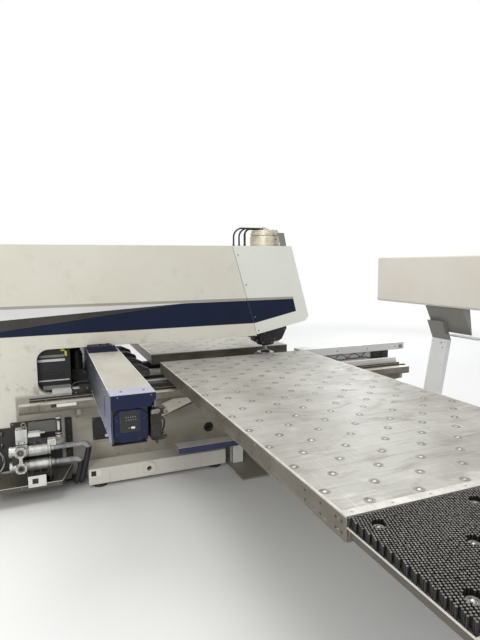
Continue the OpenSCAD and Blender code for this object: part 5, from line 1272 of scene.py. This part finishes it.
estop = Piece("emergency_stop", "estop_button", RED, BLACK)
estop.turned([(0, -1942), (10.9, -1942), (10.9, -1975), (15, -1976), (20, -1979), (21, -1984), (19, -1991),
              (10, -1994), (0, -1994)], (ESTOP_X, 0, BUTTON_Z), Y, 32, 0)
estop.done(["estop_button"])
start = Piece("start_push", "start_button", GREEN)
start.turned([(0, -1940), (8.9, -1940), (8.9, -1967), (13, -1967), (13, -1970.5), (11.5, -1972), (0, -1972)],
             (START_X, 0, BUTTON_Z), Y, 28, 0)
start.done(["start_button"])

# ------------------------------------------------------------------ rear cabinet
doorware = Piece("door_fittings", "cabinet_door", BLACK, BOLT_STEEL, GREY_PAINT)
doorware.run(round_box((-252, 985), (-224, 1115), 8), DOOR_Y, DOOR_Y + 5, Y, 0)
for z in range(1500, 1740, 24):
    doorware.run([(-180, z), (180, z), (180, z + 10), (-180, z + 10)], DOOR_Y, DOOR_Y + 2.5, Y, 2)
doorware.done(edge=0.6)

# ------------------------------------------------------------------ floor, light and camera, in metres
floor_graph = Graph("studio_floor")
floor_tone = floor_graph.blend(floor_graph.noise(0.8, 3), (232, 232, 230), (226, 226, 224))
floor_far = floor_graph.node("VectorMath", {"operation": "LENGTH"}, {0: floor_graph.place}, out="Value")
floor_shade = floor_graph.node("BsdfPrincipled", {}, {"Base Color": floor_tone, "Roughness": 0.85,
                                                     "Alpha": floor_far.step(12.0, 5.5)})
FLOOR_HALF, FLOOR_Z = 60, -0.001
corners = [(a * FLOOR_HALF, b * FLOOR_HALF, FLOOR_Z) for a, b in ((-1, -1), (1, -1), (1, 1), (-1, 1))]
floor_mesh = bpy.data.meshes.new("studio_floor")
floor_mesh.from_pydata(corners, [], [(0, 1, 2, 3)])
mesh_object("studio_floor", floor_mesh, floor_graph.closed(floor_shade))

# even soft light, with a white surround for what the camera and mirror-like faces see
world = bpy.data.worlds.new("studio_world")
bpy.context.scene.world = world
world.use_nodes = True
tree = world.node_tree
tree.nodes.clear()
seen = tree.nodes.new("ShaderNodeLightPath")
soft, white = tree.nodes.new("ShaderNodeBackground"), tree.nodes.new("ShaderNodeBackground")
soft.inputs["Color"].default_value, soft.inputs["Strength"].default_value = (0.95, 0.97, 1.0, 1.0), 0.5
white.inputs["Color"].default_value, white.inputs["Strength"].default_value = (1.0, 1.0, 1.0, 1.0), 1.0
pick = tree.nodes.new("ShaderNodeMixShader")
world_end = tree.nodes.new("ShaderNodeOutputWorld")
in_view = seen.outputs["Is Camera Ray"]
for kind in ("Is Glossy Ray", "Is Transmission Ray"):
    both = tree.nodes.new("ShaderNodeMath")
    both.operation = "MAXIMUM"
    tree.links.new(in_view, both.inputs[0])
    tree.links.new(seen.outputs[kind], both.inputs[1])
    in_view = both.outputs[0]
for source, end in ((in_view, pick.inputs[0]), (soft.outputs[0], pick.inputs[1]),
                    (white.outputs[0], pick.inputs[2]), (pick.outputs[0], world_end.inputs["Surface"])):
    tree.links.new(source, end)


def lamp(name, place, target, size, power, tint):
    """A square soft lamp that looks at a point."""
    data = bpy.data.lights.new(name, "AREA")
    data.shape, data.size, data.energy, data.color = "SQUARE", size, power, tint
    made = bpy.data.objects.new(name, data)
    made.location = place
    made.rotation_mode = "QUATERNION"
    made.rotation_quaternion = (Vector(place) - Vector(target)).to_track_quat("Z", "Y")
    bpy.context.scene.collection.objects.link(made)


lamp("roof_light", (0.5, 1.0, 9.0), (0, 0.6, 0.8), 8.0, 685, (1.0, 0.995, 0.98))
lamp("window_light", (-8.0, 6.0, 5.0), (0, 0.6, 1.2), 4.0, 320, (1.0, 0.99, 0.97))
lamp("fill_light", (6.0, -7.0, 4.0), (0, 0.5, 1.0), 4.0, 182, (0.95, 0.97, 1.0))

# camera of the picture, as solved from its lines
YAW, PITCH, ROLL = math.radians(21.71), math.radians(6.55), math.radians(-0.46)
CAMERA_PLACE = (-4.832, 2.221, 1.970)
ahead = Vector((math.cos(YAW) * math.cos(PITCH), -math.sin(YAW) * math.cos(PITCH), -math.sin(PITCH)))
right = Vector((-math.sin(YAW), -math.cos(YAW), 0))
upward = right.cross(ahead)
level_right = right * math.cos(ROLL) + upward * math.sin(ROLL)
level_up = upward * math.cos(ROLL) - right * math.sin(ROLL)
camera_data = bpy.data.cameras.new("photo_camera")
camera_data.lens, camera_data.sensor_width = 27.44, 36
camera_data.clip_start, camera_data.clip_end = 0.05, 200
camera = bpy.data.objects.new("photo_camera", camera_data)
turn = Matrix((level_right, level_up, -ahead)).transposed().to_4x4()
camera.matrix_world = Matrix.Translation(CAMERA_PLACE) @ turn
bpy.context.scene.collection.objects.link(camera)
bpy.context.scene.camera = camera
bpy.context.scene.view_settings.view_transform = "Standard"
